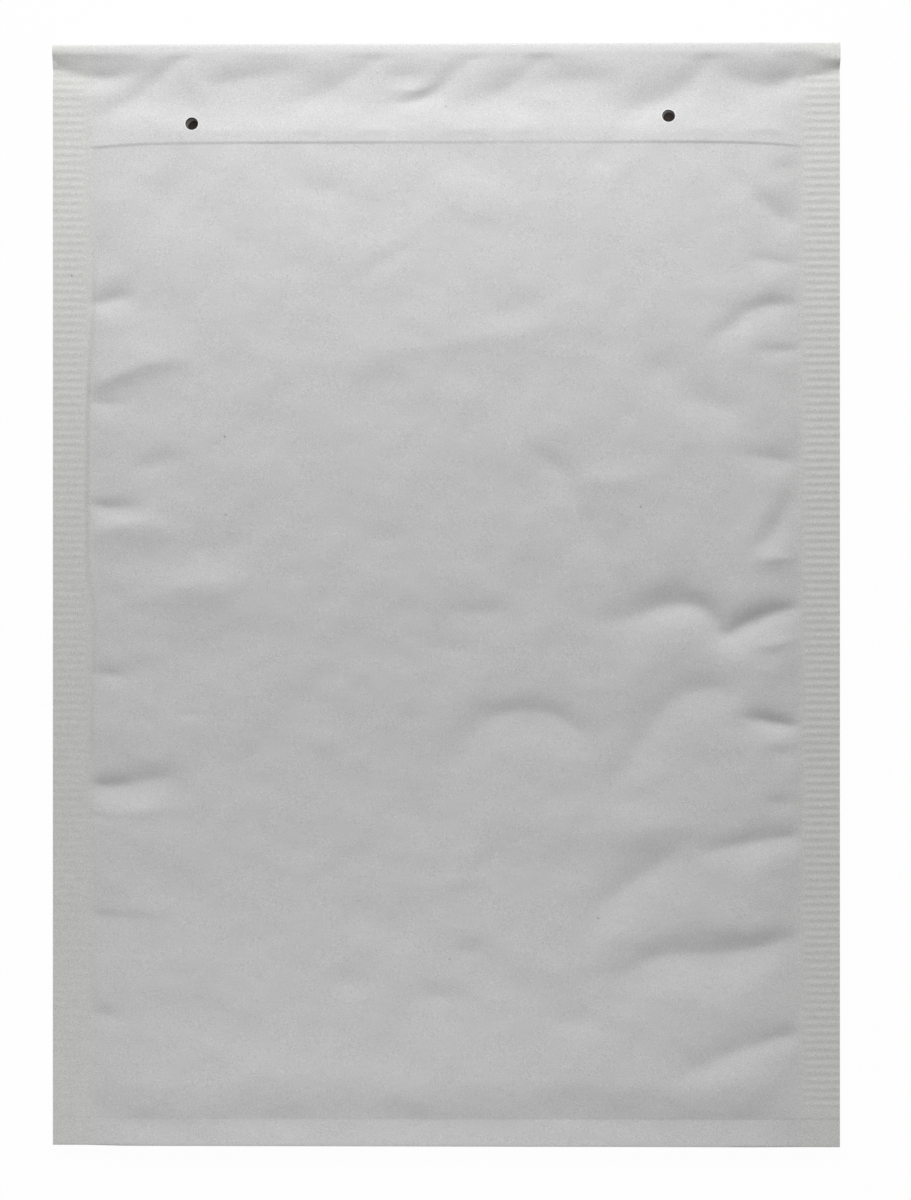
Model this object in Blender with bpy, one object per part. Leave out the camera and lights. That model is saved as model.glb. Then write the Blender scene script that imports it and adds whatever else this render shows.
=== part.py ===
"""Padded paper mailer, empty and unsealed, lying on its back with the flap folded behind it.

Metres, +Z up. The origin is the middle of the face that it rests on, and +Y points to the folded top edge.
The paper is one sheet: flap, top fold, front, bottom fold, back. Ribbed seals join front and back at both
sides, and the pocket's mouth is behind the flap. A folded bubble film lines the pocket.
"""
import math

import bpy
import bmesh
from mathutils import Vector

MM = 0.001

# Outline, with the flap folded behind
WIDTH = 0.250
LENGTH = 0.350
FLAP_DEPTH = 0.050
MOUTH_SETBACK = 0.008
BOTTOM_MARGIN = 0.009

# Sheet and lining
PAPER = 0.0002
SEAT_GAP = 0.0003
LINER_PLY = 0.0024
POCKET_GAP = 0.0004
LINER_DROP = 0.0319
LINER_INSET = 0.006
LINER_END_GAP = 0.0015
LINER_FOLD = 0.005

# Side seals
LEFT_SEAL = 0.0117
RIGHT_SEAL = 0.0125
SEAL_THICKNESS = 0.0006
LEFT_RIBS = 0.0100
RIGHT_RIBS = 0.0113
RIB_PITCH = 0.00256
RIB_HEIGHT = 0.00015
RIB_LEAD = 0.0008
RIB_END_MARGIN = 0.0110

# Heights along the middle of the front, each with its distance below the top fold
FOLD_HEIGHT = 0.0056
FOLD_REACH = 0.0027
FOLD_CORNER_SAG = 0.0006
FOLD_TILT = 0.0004
FOLD_POWER = 6
VALLEY_DROP = 0.0180
VALLEY_DEPTH = 0.0019
SHELF_DROP = 0.0300
SHELF_DEPTH = 0.0006
BODY_DROP = 0.0700

# Step over the top edge of the film, and the dip of both seals beside the mouth
STEP_HEIGHT = 0.0003
STEP_WIDTH = 0.0011
STEP_FADE = 0.0100
CORNER_DIP = 0.0011
CORNER_REACH = 0.0050

# How the pad thins towards the seals, the bottom fold and the flap
FRONT_RAMP = 0.0170
SEAM_FADE = 0.0018
BACK_RAMP = 0.0140
END_RAMP = 0.0215
MARGIN_FALL = 0.0014
MARGIN_TILT = 0.4
MARGIN_LIFT = 0.0012
BOTTOM_REACH = 0.0005
FLAP_RAMP = 0.0080
LEAST_PLY = 0.0004

# Punched holes
HOLE_DIAMETER = 0.0041
HOLE_SPACING = 0.1512
HOLE_SHIFT = -0.0049
LEFT_HOLE_DROP = 0.0254
RIGHT_HOLE_DROP = 0.0232

# Self-seal strip on the flap, and the film that covers it
ADHESIVE_WIDTH = 0.014
ADHESIVE_THICKNESS = 0.0001
ADHESIVE_END_INSET = 0.006
RELEASE_WIDTH = 0.018
RELEASE_THICKNESS = 0.0001
RELEASE_END_INSET = 0.003
STRIP_EDGE_INSET = 0.012

# Mesh steps. The ramp columns are places of closer columns, in shares of the front's ramp.
FINE_STEP = 0.0036
COARSE_STEP = 0.0170
COLUMN_STEP = 0.0086
RAMP_COLUMNS = (0.2, 0.75, 1.2, 1.7)
BACK_COLUMN_STEP = 0.0450
ROUTE_PARTS = 4
CREASE_POWER = 1.6
CREASE_REACH = 3
FOLD_SEGMENTS = 8
END_SEGMENTS = 6
HOLE_SEGMENTS = 24

# What follows from those sizes
HALF_WIDTH = WIDTH / 2
HALF_LENGTH = LENGTH / 2
LEFT_SEAM = LEFT_SEAL - HALF_WIDTH
RIGHT_SEAM = HALF_WIDTH - RIGHT_SEAL
BODY_HEIGHT = 2 * (PAPER + SEAT_GAP + LINER_PLY) + POCKET_GAP
MIDDLE = BODY_HEIGHT / 2
SEAL_TOP = MIDDLE + SEAL_THICKNESS / 2
FOLD_Y = HALF_LENGTH - FOLD_REACH
MOUTH_Y = HALF_LENGTH - MOUTH_SETBACK
FLAP_Y = HALF_LENGTH - FLAP_DEPTH
END_Y = BOTTOM_REACH - HALF_LENGTH
LINER_TOP_Y = HALF_LENGTH - LINER_DROP
LINER_END_Y = BOTTOM_MARGIN + LINER_END_GAP - HALF_LENGTH
STRIP_STACK = PAPER + ADHESIVE_THICKNESS + RELEASE_THICKNESS + 3 * SEAT_GAP
STRIP_Y = FLAP_Y + STRIP_EDGE_INSET

# Folds and puckers of the front: the side that they hang on, how much wider they are below the line
# than above it, and points. A point has the distance in from that side's seam, or right of the middle,
# and the distance below the top fold, then height (below 0 for a valley) and half width, all in mm.
CREASES = [
    # Top band, from left to right
    ("left", 1.4, [(30, 4, -0.6, 2.6), (22, 11, -0.8, 3.2), (13, 18, -0.8, 3.4), (3, 23, -0.3, 3.0)]),
    ("left", 1.0, [(31, 7, 0.3, 2.4), (33, 12, 0.5, 2.8), (35, 16, 0.3, 2.8), (36, 20, 0.0, 2.8)]),
    ("left", 1.2, [(34, 12.5, 0.0, 3.2), (42, 12, -0.6, 3.8), (52, 10.5, -0.8, 4.0), (68, 9, 0.0, 3.6)]),
    ("middle", 1.2, [(-20, 4, -0.3, 2.6), (-28, 9.5, -0.7, 3.6), (-37, 15, -0.8, 4.0), (-50, 20, 0.0, 3.4)]),
    ("middle", 1.4, [(10, 4, -0.6, 2.6), (3, 9, -0.8, 2.8), (-3, 15, -0.9, 2.6), (-16, 18.5, 0.0, 2.2)]),
    ("middle", 1.3, [(31, 4, -0.4, 2.8), (25, 10, -0.7, 3.6), (18, 15.5, -0.8, 3.8), (11, 18, 0.0, 3.4)]),
    ("middle", 1.2, [(28, 14, 0.0, 4.0), (36, 12, -0.7, 4.6), (46, 11.5, -0.7, 4.6), (56, 12, 0.0, 4.0)]),
    ("middle", 1.2, [(83, 5, -0.5, 3.2), (78, 12, -0.9, 4.2), (69, 18, -1.0, 4.6), (52, 23, 0.0, 3.6)]),
    ("right", 1.1, [(27, 7, 0.0, 3.4), (21, 11.5, -0.9, 4.6), (12, 13.5, -1.2, 5.0), (-2, 11, -0.6, 3.6)]),
    # Left side, from the top down
    ("left", 1.2, [(1, 83, -0.3, 2.2), (4, 82, -0.8, 2.6), (10, 80.5, -0.9, 3.2), (15, 80, 0.0, 3.0)]),
    ("left", 0.45, [(1, 110, 0.2, 3.0), (4.5, 107.5, 0.6, 5.0), (14, 103, 0.8, 6.0), (34, 101, 0.0, 6.0)]),
    ("left", 1.5, [(0.5, 146, -0.4, 2.2), (4, 147, -0.8, 2.4), (10, 147.4, -0.8, 3.2), (18, 147.5, 0.0, 3.2)]),
    ("left", 2.2, [(1, 157, 0.2, 2.4), (8, 153.5, 0.6, 2.8), (16, 152, 0.6, 3.0), (32, 156, 0.0, 3.0)]),
    ("left", 1.4, [(18, 176, 0.0, 4.0), (30, 173, 0.5, 4.6), (42, 171, 0.4, 4.6), (56, 169, 0.0, 4.0)]),
    ("left", 1.5, [(0, 235, -0.4, 2.2), (5, 236, -1.0, 3.0), (14, 235, -1.1, 4.0), (31, 233, 0.0, 3.4)]),
    # Right side, from the top down
    (
        "right",
        1.6,
        [
            (23, 41, 0.0, 2.4),
            (15, 48, -0.6, 2.8),
            (11, 52, -1.1, 3.2),
            (6, 55.5, -1.1, 3.2),
            (1, 58.5, -0.2, 2.4),
        ],
    ),
    (
        "right",
        1.6,
        [
            (31, 94, 0.0, 2.6),
            (20.5, 89, -0.8, 2.8),
            (16, 85, -1.1, 3.0),
            (9, 83.3, -1.1, 3.0),
            (1, 82.5, -0.2, 2.2),
        ],
    ),
    ("right", 1.2, [(38, 113, 0.0, 4.4), (28, 115, -0.7, 4.6), (16, 118, 0.0, 4.0)]),
    ("right", 1.4, [(17, 130.5, 0.0, 2.6), (12, 131.5, -0.7, 3.0), (6, 132.5, -0.8, 3.0), (1, 133.5, 0.0, 2.2)]),
    ("right", 1.1, [(3, 142, -0.2, 2.4), (5.5, 149, -0.6, 3.0), (9.5, 156, -0.7, 3.2), (15, 160, -0.2, 2.6)]),
    (
        "right",
        1.1,
        [
            (61, 187, 0.0, 4.0),
            (54, 183, -0.9, 5.0),
            (47, 179.5, -1.6, 5.4),
            (39, 177.5, -2.0, 5.2),
            (32, 178.7, -2.0, 4.8),
            (27, 183.5, -1.6, 4.0),
            (23.5, 187.5, -1.7, 3.8),
            (18, 185, -1.9, 4.0),
            (11, 182, -1.7, 3.6),
            (4, 179.7, -0.9, 2.4),
            (0.5, 178.5, -0.1, 2.0),
        ],
    ),
    (
        "right",
        1.2,
        [
            (16, 205, 0.0, 5.0),
            (26, 205, -0.9, 6.0),
            (38, 207, -1.1, 6.4),
            (47, 215, -0.9, 6.0),
            (54, 228, -1.0, 5.4),
            (62, 237, 0.0, 4.6),
        ],
    ),
    ("right", 1.3, [(20, 214, 0.0, 2.4), (14, 215, -1.0, 3.0), (7, 216, -1.4, 3.2), (1.5, 216.5, -0.4, 2.2)]),
    ("right", 1.4, [(33, 257, 0.0, 3.0), (25, 255.5, -0.9, 3.6), (15, 253.5, -1.2, 3.8), (1, 251, -0.1, 2.4)]),
    ("right", 1.2, [(34, 250, 0.0, 4.4), (43, 258, -0.9, 5.2), (54, 267, -1.0, 5.6), (68, 285, 0.0, 4.4)]),
    (
        "right",
        1.7,
        [
            (58, 296, 0.0, 3.4),
            (52, 293, -0.9, 3.8),
            (46, 290.5, -1.2, 4.4),
            (38, 289, -1.4, 4.8),
            (29, 289, -1.6, 5.0),
            (19, 288, -1.6, 5.0),
            (10, 286, -1.5, 4.4),
            (3, 284, -0.7, 2.8),
            (0.5, 283, -0.1, 2.2),
        ],
    ),
    (
        "right",
        1.2,
        [
            (44, 331, 0.0, 4.0),
            (34, 326, -0.8, 4.8),
            (25, 321.5, -1.2, 5.2),
            (15, 318, -1.3, 5.0),
            (1, 314, -0.2, 3.0),
        ],
    ),
    # Middle of the front
    ("middle", 1.2, [(-45, 104, 0.0, 5.0), (-25, 99, 0.4, 5.4), (20, 92, 0.5, 5.0), (38, 89, 0.0, 4.6)]),
    ("middle", 1.2, [(26, 128, 0.0, 4.0), (34, 134, -0.6, 4.2), (43, 147, -0.6, 4.6), (58, 178, 0.0, 4.0)]),
    (
        "middle",
        1.2,
        [
            (-1, 234, 0.0, 3.6),
            (4, 227, -0.6, 4.0),
            (10, 219.5, -0.9, 4.4),
            (18, 213.5, -1.2, 4.4),
            (28, 211.7, -1.4, 4.4),
            (36, 214, -1.3, 4.2),
            (43, 219.5, -1.2, 3.8),
            (47, 224, 0.0, 2.6),
        ],
    ),
]


def clamp(value):
    """The value, kept between 0 and 1."""
    return min(1.0, max(0.0, value))


def ease(share):
    """0 to 1 with level ends."""
    share = clamp(share)
    return share * share * (3 - 2 * share)


def swell(share):
    """0 to 1, steep at first and level at the end, as a filled pad rises from its seam."""
    return math.sin(math.pi / 2 * clamp(share))


def seam_distance(x):
    """How far a place lies inside the nearer side seam."""
    return min(x - LEFT_SEAM, RIGHT_SEAM - x)


def crease_route(side, points):
    """Smooth route through the points of a crease: sheet position, height and half width, in metres."""
    places = []
    for across, drop, height, width in points:
        if side == "left":
            x = LEFT_SEAM + across * MM
        elif side == "right":
            x = RIGHT_SEAM - across * MM
        else:
            x = across * MM
        places.append(Vector((x, HALF_LENGTH - drop * MM, height * MM, width * MM)))
    padded = [2 * places[0] - places[1]] + places + [2 * places[-1] - places[-2]]
    route = []
    for before, start, end, after in zip(padded, padded[1:], padded[2:], padded[3:]):
        for part in range(ROUTE_PARTS):
            share = part / ROUTE_PARTS
            bend = (2 * before - 5 * start + 4 * end - after) * share ** 2
            bend += (3 * start - before - 3 * end + after) * share ** 3
            route.append(start + ((end - before) * share + bend) / 2)
    route.append(places[-1])
    return route


def crease_routes():
    """For each crease: its spread, its route and the sheet area that it can reach."""
    routes = []
    for side, spread, points in CREASES:
        route = crease_route(side, points)
        reach = CREASE_REACH * max(1.0, spread) * max(place[3] for place in route)
        area = (
            min(place[0] for place in route) - reach,
            max(place[0] for place in route) + reach,
            min(place[1] for place in route) - reach,
            max(place[1] for place in route) + reach,
        )
        routes.append((spread, route, area))
    return routes


ROUTES = crease_routes()


def crease_bump(x, y, spread, start, end):
    """Height that one straight run of a crease gives at a place, with its spread below the line."""
    run_x = end[0] - start[0]
    run_y = end[1] - start[1]
    share = clamp(((x - start[0]) * run_x + (y - start[1]) * run_y) / (run_x ** 2 + run_y ** 2))
    off_x = x - start[0] - share * run_x
    off_y = y - start[1] - share * run_y
    distance = math.hypot(off_x, off_y)
    height, width = (start + (end - start) * share)[2:]
    upper = 0.5 + 0.5 * off_y / max(distance, MM / 1000)
    width *= spread + (1 - spread) * upper
    return height * math.exp(-(distance / width) ** CREASE_POWER)


def crease_relief(x, y):
    """Height that the folds and puckers add to the front at one place."""
    total = 0.0
    for spread, route, (low_x, high_x, low_y, high_y) in ROUTES:
        if low_x < x < high_x and low_y < y < high_y:
            bumps = [crease_bump(x, y, spread, start, end) for start, end in zip(route, route[1:])]
            total += max(bumps, key=abs)
    return total


def film_step(y):
    """Small rise just above the top edge of the film, which fades out upwards."""
    above = (y - LINER_TOP_Y) / STEP_WIDTH
    return STEP_HEIGHT * ease(above) * ease(1 - (y - LINER_TOP_Y) / STEP_FADE)


def middle_height(x, y):
    """Height of the front between its seams, from the top fold to the bottom fold."""
    drop = HALF_LENGTH - y
    stops = [
        (FOLD_REACH, FOLD_HEIGHT),
        (VALLEY_DROP, BODY_HEIGHT - VALLEY_DEPTH),
        (SHELF_DROP, BODY_HEIGHT - SHELF_DEPTH),
        (BODY_DROP, BODY_HEIGHT),
    ]
    height = BODY_HEIGHT
    for (high, high_z), (low, low_z) in zip(stops, stops[1:]):
        if high <= drop <= low:
            height = high_z + (low_z - high_z) * ease((drop - high) / (low - high))
    share = clamp((END_RAMP - y - HALF_LENGTH) / (END_RAMP - BOTTOM_MARGIN))
    fall = MARGIN_FALL * (1 + MARGIN_TILT * x / HALF_WIDTH) * share ** 2 * (3 - share) / 2
    return height + film_step(y) - fall


def edge_height(y):
    """Height of the front over a side seal: down from the fold to a dip at the mouth, then level."""
    rise = clamp((y - MOUTH_Y) / (FOLD_Y - MOUTH_Y))
    dip = SEAL_TOP - CORNER_DIP * (1 - ease((MOUTH_Y - y) / CORNER_REACH))
    return dip + (FOLD_HEIGHT - FOLD_CORNER_SAG - dip) * rise


def least_height(x, y):
    """Lowest height that a crease may press the front to."""
    if y > LINER_TOP_Y:
        return back_height(x, y) + SEAL_THICKNESS
    film = MIDDLE + POCKET_GAP / 2 + LEAST_PLY + SEAT_GAP + PAPER
    return edge_height(y) + max(0.0, film - SEAL_TOP) * clamp(seam_distance(x) / LINER_INSET)


def front_height(x, y):
    """Outer height of the front panel."""
    inside = seam_distance(x)
    edge = edge_height(y)
    pad = edge + (middle_height(x, y) - edge) * swell(inside / FRONT_RAMP)
    relief = crease_relief(x, y) * ease(inside / SEAM_FADE) * ease((FOLD_Y - y) / FOLD_REACH)
    relief *= ease((y + HALF_LENGTH) / BOTTOM_MARGIN)
    return max(pad + relief, min(pad, least_height(x, y)))


def back_height(x, y):
    """Outer height of the back panel: flat on the ground, lifted over the flap and to the seals."""
    lift = STRIP_STACK * ease((y - FLAP_Y + FLAP_RAMP) / FLAP_RAMP)
    lift += MARGIN_LIFT * ease((END_RAMP - y - HALF_LENGTH) / (END_RAMP - BOTTOM_MARGIN))
    edge = edge_height(y) - SEAL_THICKNESS
    return edge + (lift - edge) * swell(seam_distance(x) / BACK_RAMP)


def distinct(stops, known, nearest):
    """The stops that lie apart from each other and from the known ones."""
    kept = list(known)
    for stop in stops:
        if all(abs(stop - other) > nearest for other in kept):
            kept.append(stop)
    return sorted(kept)


def filled(stops, step):
    """Sorted stops, with each longer gap cut into equal parts no longer than the step."""
    places = [stops[0]]
    for start, end in zip(stops, stops[1:]):
        parts = math.ceil((end - start) / step - 1e-6)
        for part in range(1, parts + 1):
            places.append(start + (end - start) * part / parts)
    return places


def sheet_rows():
    """Rows of the front from top to bottom, fine for its outside and coarse for the inside and the back."""
    nearest = MM / 2
    fixed = [FOLD_Y, MOUTH_Y, LINER_TOP_Y, FLAP_Y, FLAP_Y - FLAP_RAMP, LINER_END_Y, END_Y]
    extra = [
        MOUTH_Y - CORNER_REACH / 2,
        MOUTH_Y - CORNER_REACH,
        HALF_LENGTH - VALLEY_DROP,
        LINER_TOP_Y + STEP_FADE,
        END_RAMP - HALF_LENGTH,
        LINER_END_Y + LINER_FOLD,
        BOTTOM_MARGIN - HALF_LENGTH,
    ]
    fine_extra = [
        (FOLD_Y + MOUTH_Y) / 2,
        LINER_TOP_Y + STEP_WIDTH,
        HALF_LENGTH - BODY_DROP,
        (END_RAMP + BOTTOM_MARGIN) / 2 - HALF_LENGTH,
    ]
    coarse = filled(distinct(extra, fixed, nearest), COARSE_STEP)
    fine = filled(distinct(fine_extra, coarse, nearest), FINE_STEP)
    return fine[::-1], coarse[::-1]


def sheet_columns():
    """Columns between the seams, close together where the pad thins: for the front, then for the back."""
    steps = [0.0, LINER_INSET] + [share * FRONT_RAMP for share in RAMP_COLUMNS]
    back_steps = [0.0, LINER_INSET, BACK_RAMP]
    front = [LEFT_SEAM + step for step in steps] + [RIGHT_SEAM - step for step in steps]
    back = [LEFT_SEAM + step for step in back_steps] + [RIGHT_SEAM - step for step in back_steps]
    return filled(sorted(front), COLUMN_STEP), filled(sorted(back), BACK_COLUMN_STEP)


def rib_rows():
    """Rows of the crimped seals from the mouth to the bottom fold, each with its share of the rib height."""
    start = MOUTH_Y - RIB_LEAD
    end = RIB_END_MARGIN - HALF_LENGTH
    count = int((start - end) / (RIB_PITCH / 2))
    rows = [(MOUTH_Y, 0.0)]
    for number in range(count + 1):
        rows.append((start - number * RIB_PITCH / 2, 0.5 if number % 2 else -0.5))
    rows.append((END_Y, 0.0))
    return rows


class Skin:
    """Points and faces of one closed body."""

    def __init__(self):
        self.points = []
        self.faces = []

    def point(self, x, y, z):
        """Number of a new point."""
        self.points.append((x, y, z))
        return len(self.points) - 1

    def chain(self, places):
        """Numbers of new points, one for each place."""
        return [self.point(*place) for place in places]

    def face(self, corners):
        """One flat face."""
        self.faces.append(tuple(corners))

    def strip(self, one, other):
        """Four-sided faces between two chains of as many points."""
        for first, second, third, fourth in zip(one, one[1:], other[1:], other):
            self.face((first, second, third, fourth))

    def zip_strip(self, one, other, axis):
        """Triangles between two chains that run the same way, paired by their place along an axis."""
        sign = 1 if self.points[one[-1]][axis] > self.points[one[0]][axis] else -1
        i = 0
        j = 0
        while i < len(one) - 1 or j < len(other) - 1:
            if i == len(one) - 1:
                take_one = False
            elif j == len(other) - 1:
                take_one = True
            else:
                one_place = sign * self.points[one[i + 1]][axis]
                other_place = sign * self.points[other[j + 1]][axis]
                take_one = one_place <= other_place
            if take_one:
                self.face((one[i], one[i + 1], other[j]))
                i += 1
            else:
                self.face((one[i], other[j + 1], other[j]))
                j += 1

    def build(self, name, material):
        """The object, with its faces pointing out."""
        mesh = bpy.data.meshes.new(name)
        mesh.from_pydata(self.points, [], self.faces)
        shape = bmesh.new()
        shape.from_mesh(mesh)
        bmesh.ops.recalc_face_normals(shape, faces=shape.faces)
        shape.to_mesh(mesh)
        shape.free()
        mesh.materials.append(material)
        piece = bpy.data.objects.new(name, mesh)
        bpy.context.collection.objects.link(piece)
        return piece


def inside_height(x, row, fine, coarse):
    """Height of the front's inner face at a coarse row: a sheet's thickness under the lowest place near it."""
    above = coarse[max(row - 1, 0)]
    below = coarse[min(row + 1, len(coarse) - 1)]
    return min(front_height(x, y) for y in fine if below <= y <= above) - PAPER


def rib_chain(skin, x, depth):
    """A chain of points down a crimped seal, at a depth below its front."""
    return skin.chain([(x, y, edge_height(y) - depth + share * RIB_HEIGHT) for y, share in rib_rows()])


def build_seal_edges(skin, side, ribs_width):
    """Edges of one crimped seal: the outer edge and the inner end of the ribs in front, and the back's edge."""
    edge_x = side * HALF_WIDTH
    inner_x = side * (HALF_WIDTH - ribs_width)
    return {
        "front_edge": rib_chain(skin, edge_x, 0.0),
        "front_inner": rib_chain(skin, inner_x, 0.0),
        "back_edge": rib_chain(skin, edge_x, SEAL_THICKNESS),
    }


def build_front(skin, fine, columns, left, right):
    """Outside of the front: full rows above the mouth, then the panel between the seals, and the seals."""
    rows = []
    for y in fine:
        middle = skin.chain([(x, y, front_height(x, y)) for x in columns])
        if y > MOUTH_Y:
            edge_places = [(x, y, front_height(x, y)) for x in (-HALF_WIDTH, LEFT_RIBS - HALF_WIDTH)]
            left_pair = skin.chain(edge_places)
            edge_places = [(x, y, front_height(x, y)) for x in (HALF_WIDTH - RIGHT_RIBS, HALF_WIDTH)]
            right_pair = skin.chain(edge_places)
            rows.append(left_pair + middle + right_pair)
        elif y == MOUTH_Y or y == fine[-1]:
            end = 0 if y == MOUTH_Y else -1
            left_pair = [left["front_edge"][end], left["front_inner"][end]]
            right_pair = [right["front_inner"][end], right["front_edge"][end]]
            rows.append(left_pair + middle + right_pair)
        else:
            rows.append(middle)
    mouth = fine.index(MOUTH_Y)
    middles = [row[2:-2] if len(row) > len(columns) else row for row in rows]
    for number in range(len(rows) - 1):
        if number < mouth:
            skin.strip(rows[number], rows[number + 1])
        else:
            skin.strip(middles[number], middles[number + 1])
    for seal, column in ((left, 0), (right, -1)):
        skin.strip(seal["front_edge"], seal["front_inner"])
        skin.zip_strip(seal["front_inner"], [row[column] for row in middles[mouth:]], 1)
    return rows


def build_inside_front(skin, fine, coarse, columns):
    """Inner face of the front: the panel's underside above the mouth, and the pocket's ceiling below it."""
    rows = []
    for number, y in enumerate(coarse):
        heights = [inside_height(x, number, fine, coarse) for x in columns]
        if y <= MOUTH_Y:
            heights[0] = edge_height(y) - SEAL_THICKNESS / 2
            heights[-1] = edge_height(y) - SEAL_THICKNESS / 2
        if y == coarse[-1]:
            heights = [(front_height(x, y) + back_height(x, y)) / 2 for x in columns]
        middle = skin.chain([(x, y, z) for x, z in zip(columns, heights)])
        if y >= MOUTH_Y:
            left_xs = (-HALF_WIDTH, LEFT_RIBS - HALF_WIDTH)
            right_xs = (HALF_WIDTH - RIGHT_RIBS, HALF_WIDTH)
            left_pair = skin.chain([(x, y, front_height(x, y) - PAPER) for x in left_xs])
            right_pair = skin.chain([(x, y, front_height(x, y) - PAPER) for x in right_xs])
            rows.append(left_pair + middle + right_pair)
        else:
            rows.append(middle)
    mouth = coarse.index(MOUTH_Y)
    middles = [row[2:-2] if len(row) > len(columns) else row for row in rows]
    for number in range(len(rows) - 1):
        if number < mouth:
            skin.strip(rows[number], rows[number + 1])
        else:
            skin.strip(middles[number], middles[number + 1])
    return rows, middles, mouth


def build_back(skin, coarse, columns, left, right, ceiling, mouth):
    """Outside and inside of the back panel, and the edge of its mouth."""
    outer = []
    inner = []
    for number in range(mouth, len(coarse)):
        y = coarse[number]
        outer.append(skin.chain([(x, y, back_height(x, y)) for x in columns]))
        if number < len(coarse) - 1:
            places = [(x, y, back_height(x, y) + PAPER) for x in columns[1:-1]]
            inner.append([ceiling[number][0]] + skin.chain(places) + [ceiling[number][-1]])
    for one, other in zip(outer, outer[1:]):
        skin.strip(one, other)
    for one, other in zip(inner, inner[1:]):
        skin.strip(one, other)
    skin.zip_strip(inner[-1], ceiling[-1], 0)
    skin.strip(outer[0], inner[0])
    for seal, column in ((left, 0), (right, -1)):
        skin.zip_strip(seal["back_edge"], [row[column] for row in outer], 1)
    return outer


def fold_profile(angle):
    """Shares out and up of a fold's half circle, squared off as in pressed paper."""
    out = clamp(math.sin(angle)) ** (2 / FOLD_POWER)
    up = math.copysign(abs(math.cos(angle)) ** (2 / FOLD_POWER), math.cos(angle))
    return out, up


def fold_ring(skin, columns, segment, inset):
    """One row of points round the top fold, on the sheet's outside or, with an inset, on its inside."""
    out, up = fold_profile(math.pi * segment / FOLD_SEGMENTS)
    places = []
    for x in columns:
        radius = front_height(x, FOLD_Y) / 2
        y = FOLD_Y + (FOLD_REACH - inset) * out
        places.append((x, y, radius + (radius - inset - FOLD_TILT * out) * up))
    return skin.chain(places)


def build_flap(skin, columns, inset):
    """Rows round the top fold and down the flap, on one side of the sheet."""
    rows = [fold_ring(skin, columns, segment, inset) for segment in range(1, FOLD_SEGMENTS + 1)]
    rows.append(skin.chain([(x, FLAP_Y, inset) for x in columns]))
    for one, other in zip(rows, rows[1:]):
        skin.strip(one, other)
    return rows


def build_bottom_fold(skin, columns, front_row, back_row):
    """The bottom fold, from the front's last row round to the back's."""
    rows = []
    for segment in range(1, END_SEGMENTS):
        out, up = fold_profile(math.pi * segment / END_SEGMENTS)
        places = []
        for x in columns:
            high = front_height(x, END_Y)
            low = back_height(x, END_Y)
            places.append((x, END_Y - BOTTOM_REACH * out, (high + low) / 2 + (high - low) / 2 * up))
        rows.append(skin.chain(places))
    rows.append(back_row)
    skin.zip_strip(front_row, rows[0], 0)
    for one, other in zip(rows, rows[1:]):
        skin.strip(one, other)
    return rows


def build_paper(material):
    """The folded and sealed sheet as one closed body."""
    skin = Skin()
    fine, coarse = sheet_rows()
    columns, back_columns = sheet_columns()
    left = build_seal_edges(skin, -1, LEFT_RIBS)
    right = build_seal_edges(skin, 1, RIGHT_RIBS)
    front = build_front(skin, fine, columns, left, right)
    inside, ceiling, mouth = build_inside_front(skin, fine, coarse, columns)
    back = build_back(skin, coarse, back_columns, left, right, ceiling, mouth)

    wide_columns = [-HALF_WIDTH] + back_columns + [HALF_WIDTH]
    outer = build_flap(skin, wide_columns, 0.0)
    inner = build_flap(skin, wide_columns, PAPER)
    skin.zip_strip(front[0], outer[0], 0)
    skin.zip_strip(inside[0], inner[0], 0)
    skin.strip(outer[-1], inner[-1])

    back_row = [left["back_edge"][-1]] + back[-1] + [right["back_edge"][-1]]
    bottom = build_bottom_fold(skin, wide_columns, front[-1], back_row)

    fine_mouth = fine.index(MOUTH_Y)
    for seal, end, step in ((left, 0, 1), (right, -1, -1)):
        edge = seal["front_edge"]
        back_edge = seal["back_edge"]
        under = inside[mouth][end]
        skin.face((back_edge[0], back[0][end], ceiling[mouth][end], inside[mouth][end + step], under))
        skin.face((under, edge[0], edge[1]))
        skin.face((under, edge[1], back_edge[1]))
        skin.face((under, back_edge[1], back_edge[0]))
        skin.strip(edge[1:], back_edge[1:])
        skin.face([edge[-1]] + [row[end] for row in bottom])
        outer_edge = [row[end] for row in front[:fine_mouth + 1]]
        skin.zip_strip(outer_edge, [row[end] for row in inside[:mouth + 1]], 1)
        outer_side = [front[0][end]] + [row[end] for row in outer]
        skin.strip(outer_side, [inside[0][end]] + [row[end] for row in inner])

    paper = skin.build("paper_envelope", material)
    for name, side, drop in (("left", -1, LEFT_HOLE_DROP), ("right", 1, RIGHT_HOLE_DROP)):
        punch(paper, name, HOLE_SHIFT + side * HOLE_SPACING / 2, HALF_LENGTH - drop)
    return paper


def punch(paper, name, x, y):
    """A round hole through front, back and flap."""
    mesh = bpy.data.meshes.new(name + "_punch")
    shape = bmesh.new()
    bmesh.ops.create_cone(
        shape,
        cap_ends=True,
        segments=HOLE_SEGMENTS,
        radius1=HOLE_DIAMETER / 2,
        radius2=HOLE_DIAMETER / 2,
        depth=4 * BODY_HEIGHT,
    )
    shape.to_mesh(mesh)
    shape.free()
    cutter = bpy.data.objects.new(name + "_punch", mesh)
    cutter.location = (x, y, MIDDLE)
    cutter.hide_render = True
    cutter.display_type = "WIRE"
    bpy.context.collection.objects.link(cutter)
    cut = paper.modifiers.new(name + "_hole", "BOOLEAN")
    cut.operation = "DIFFERENCE"
    cut.object = cutter


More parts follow.
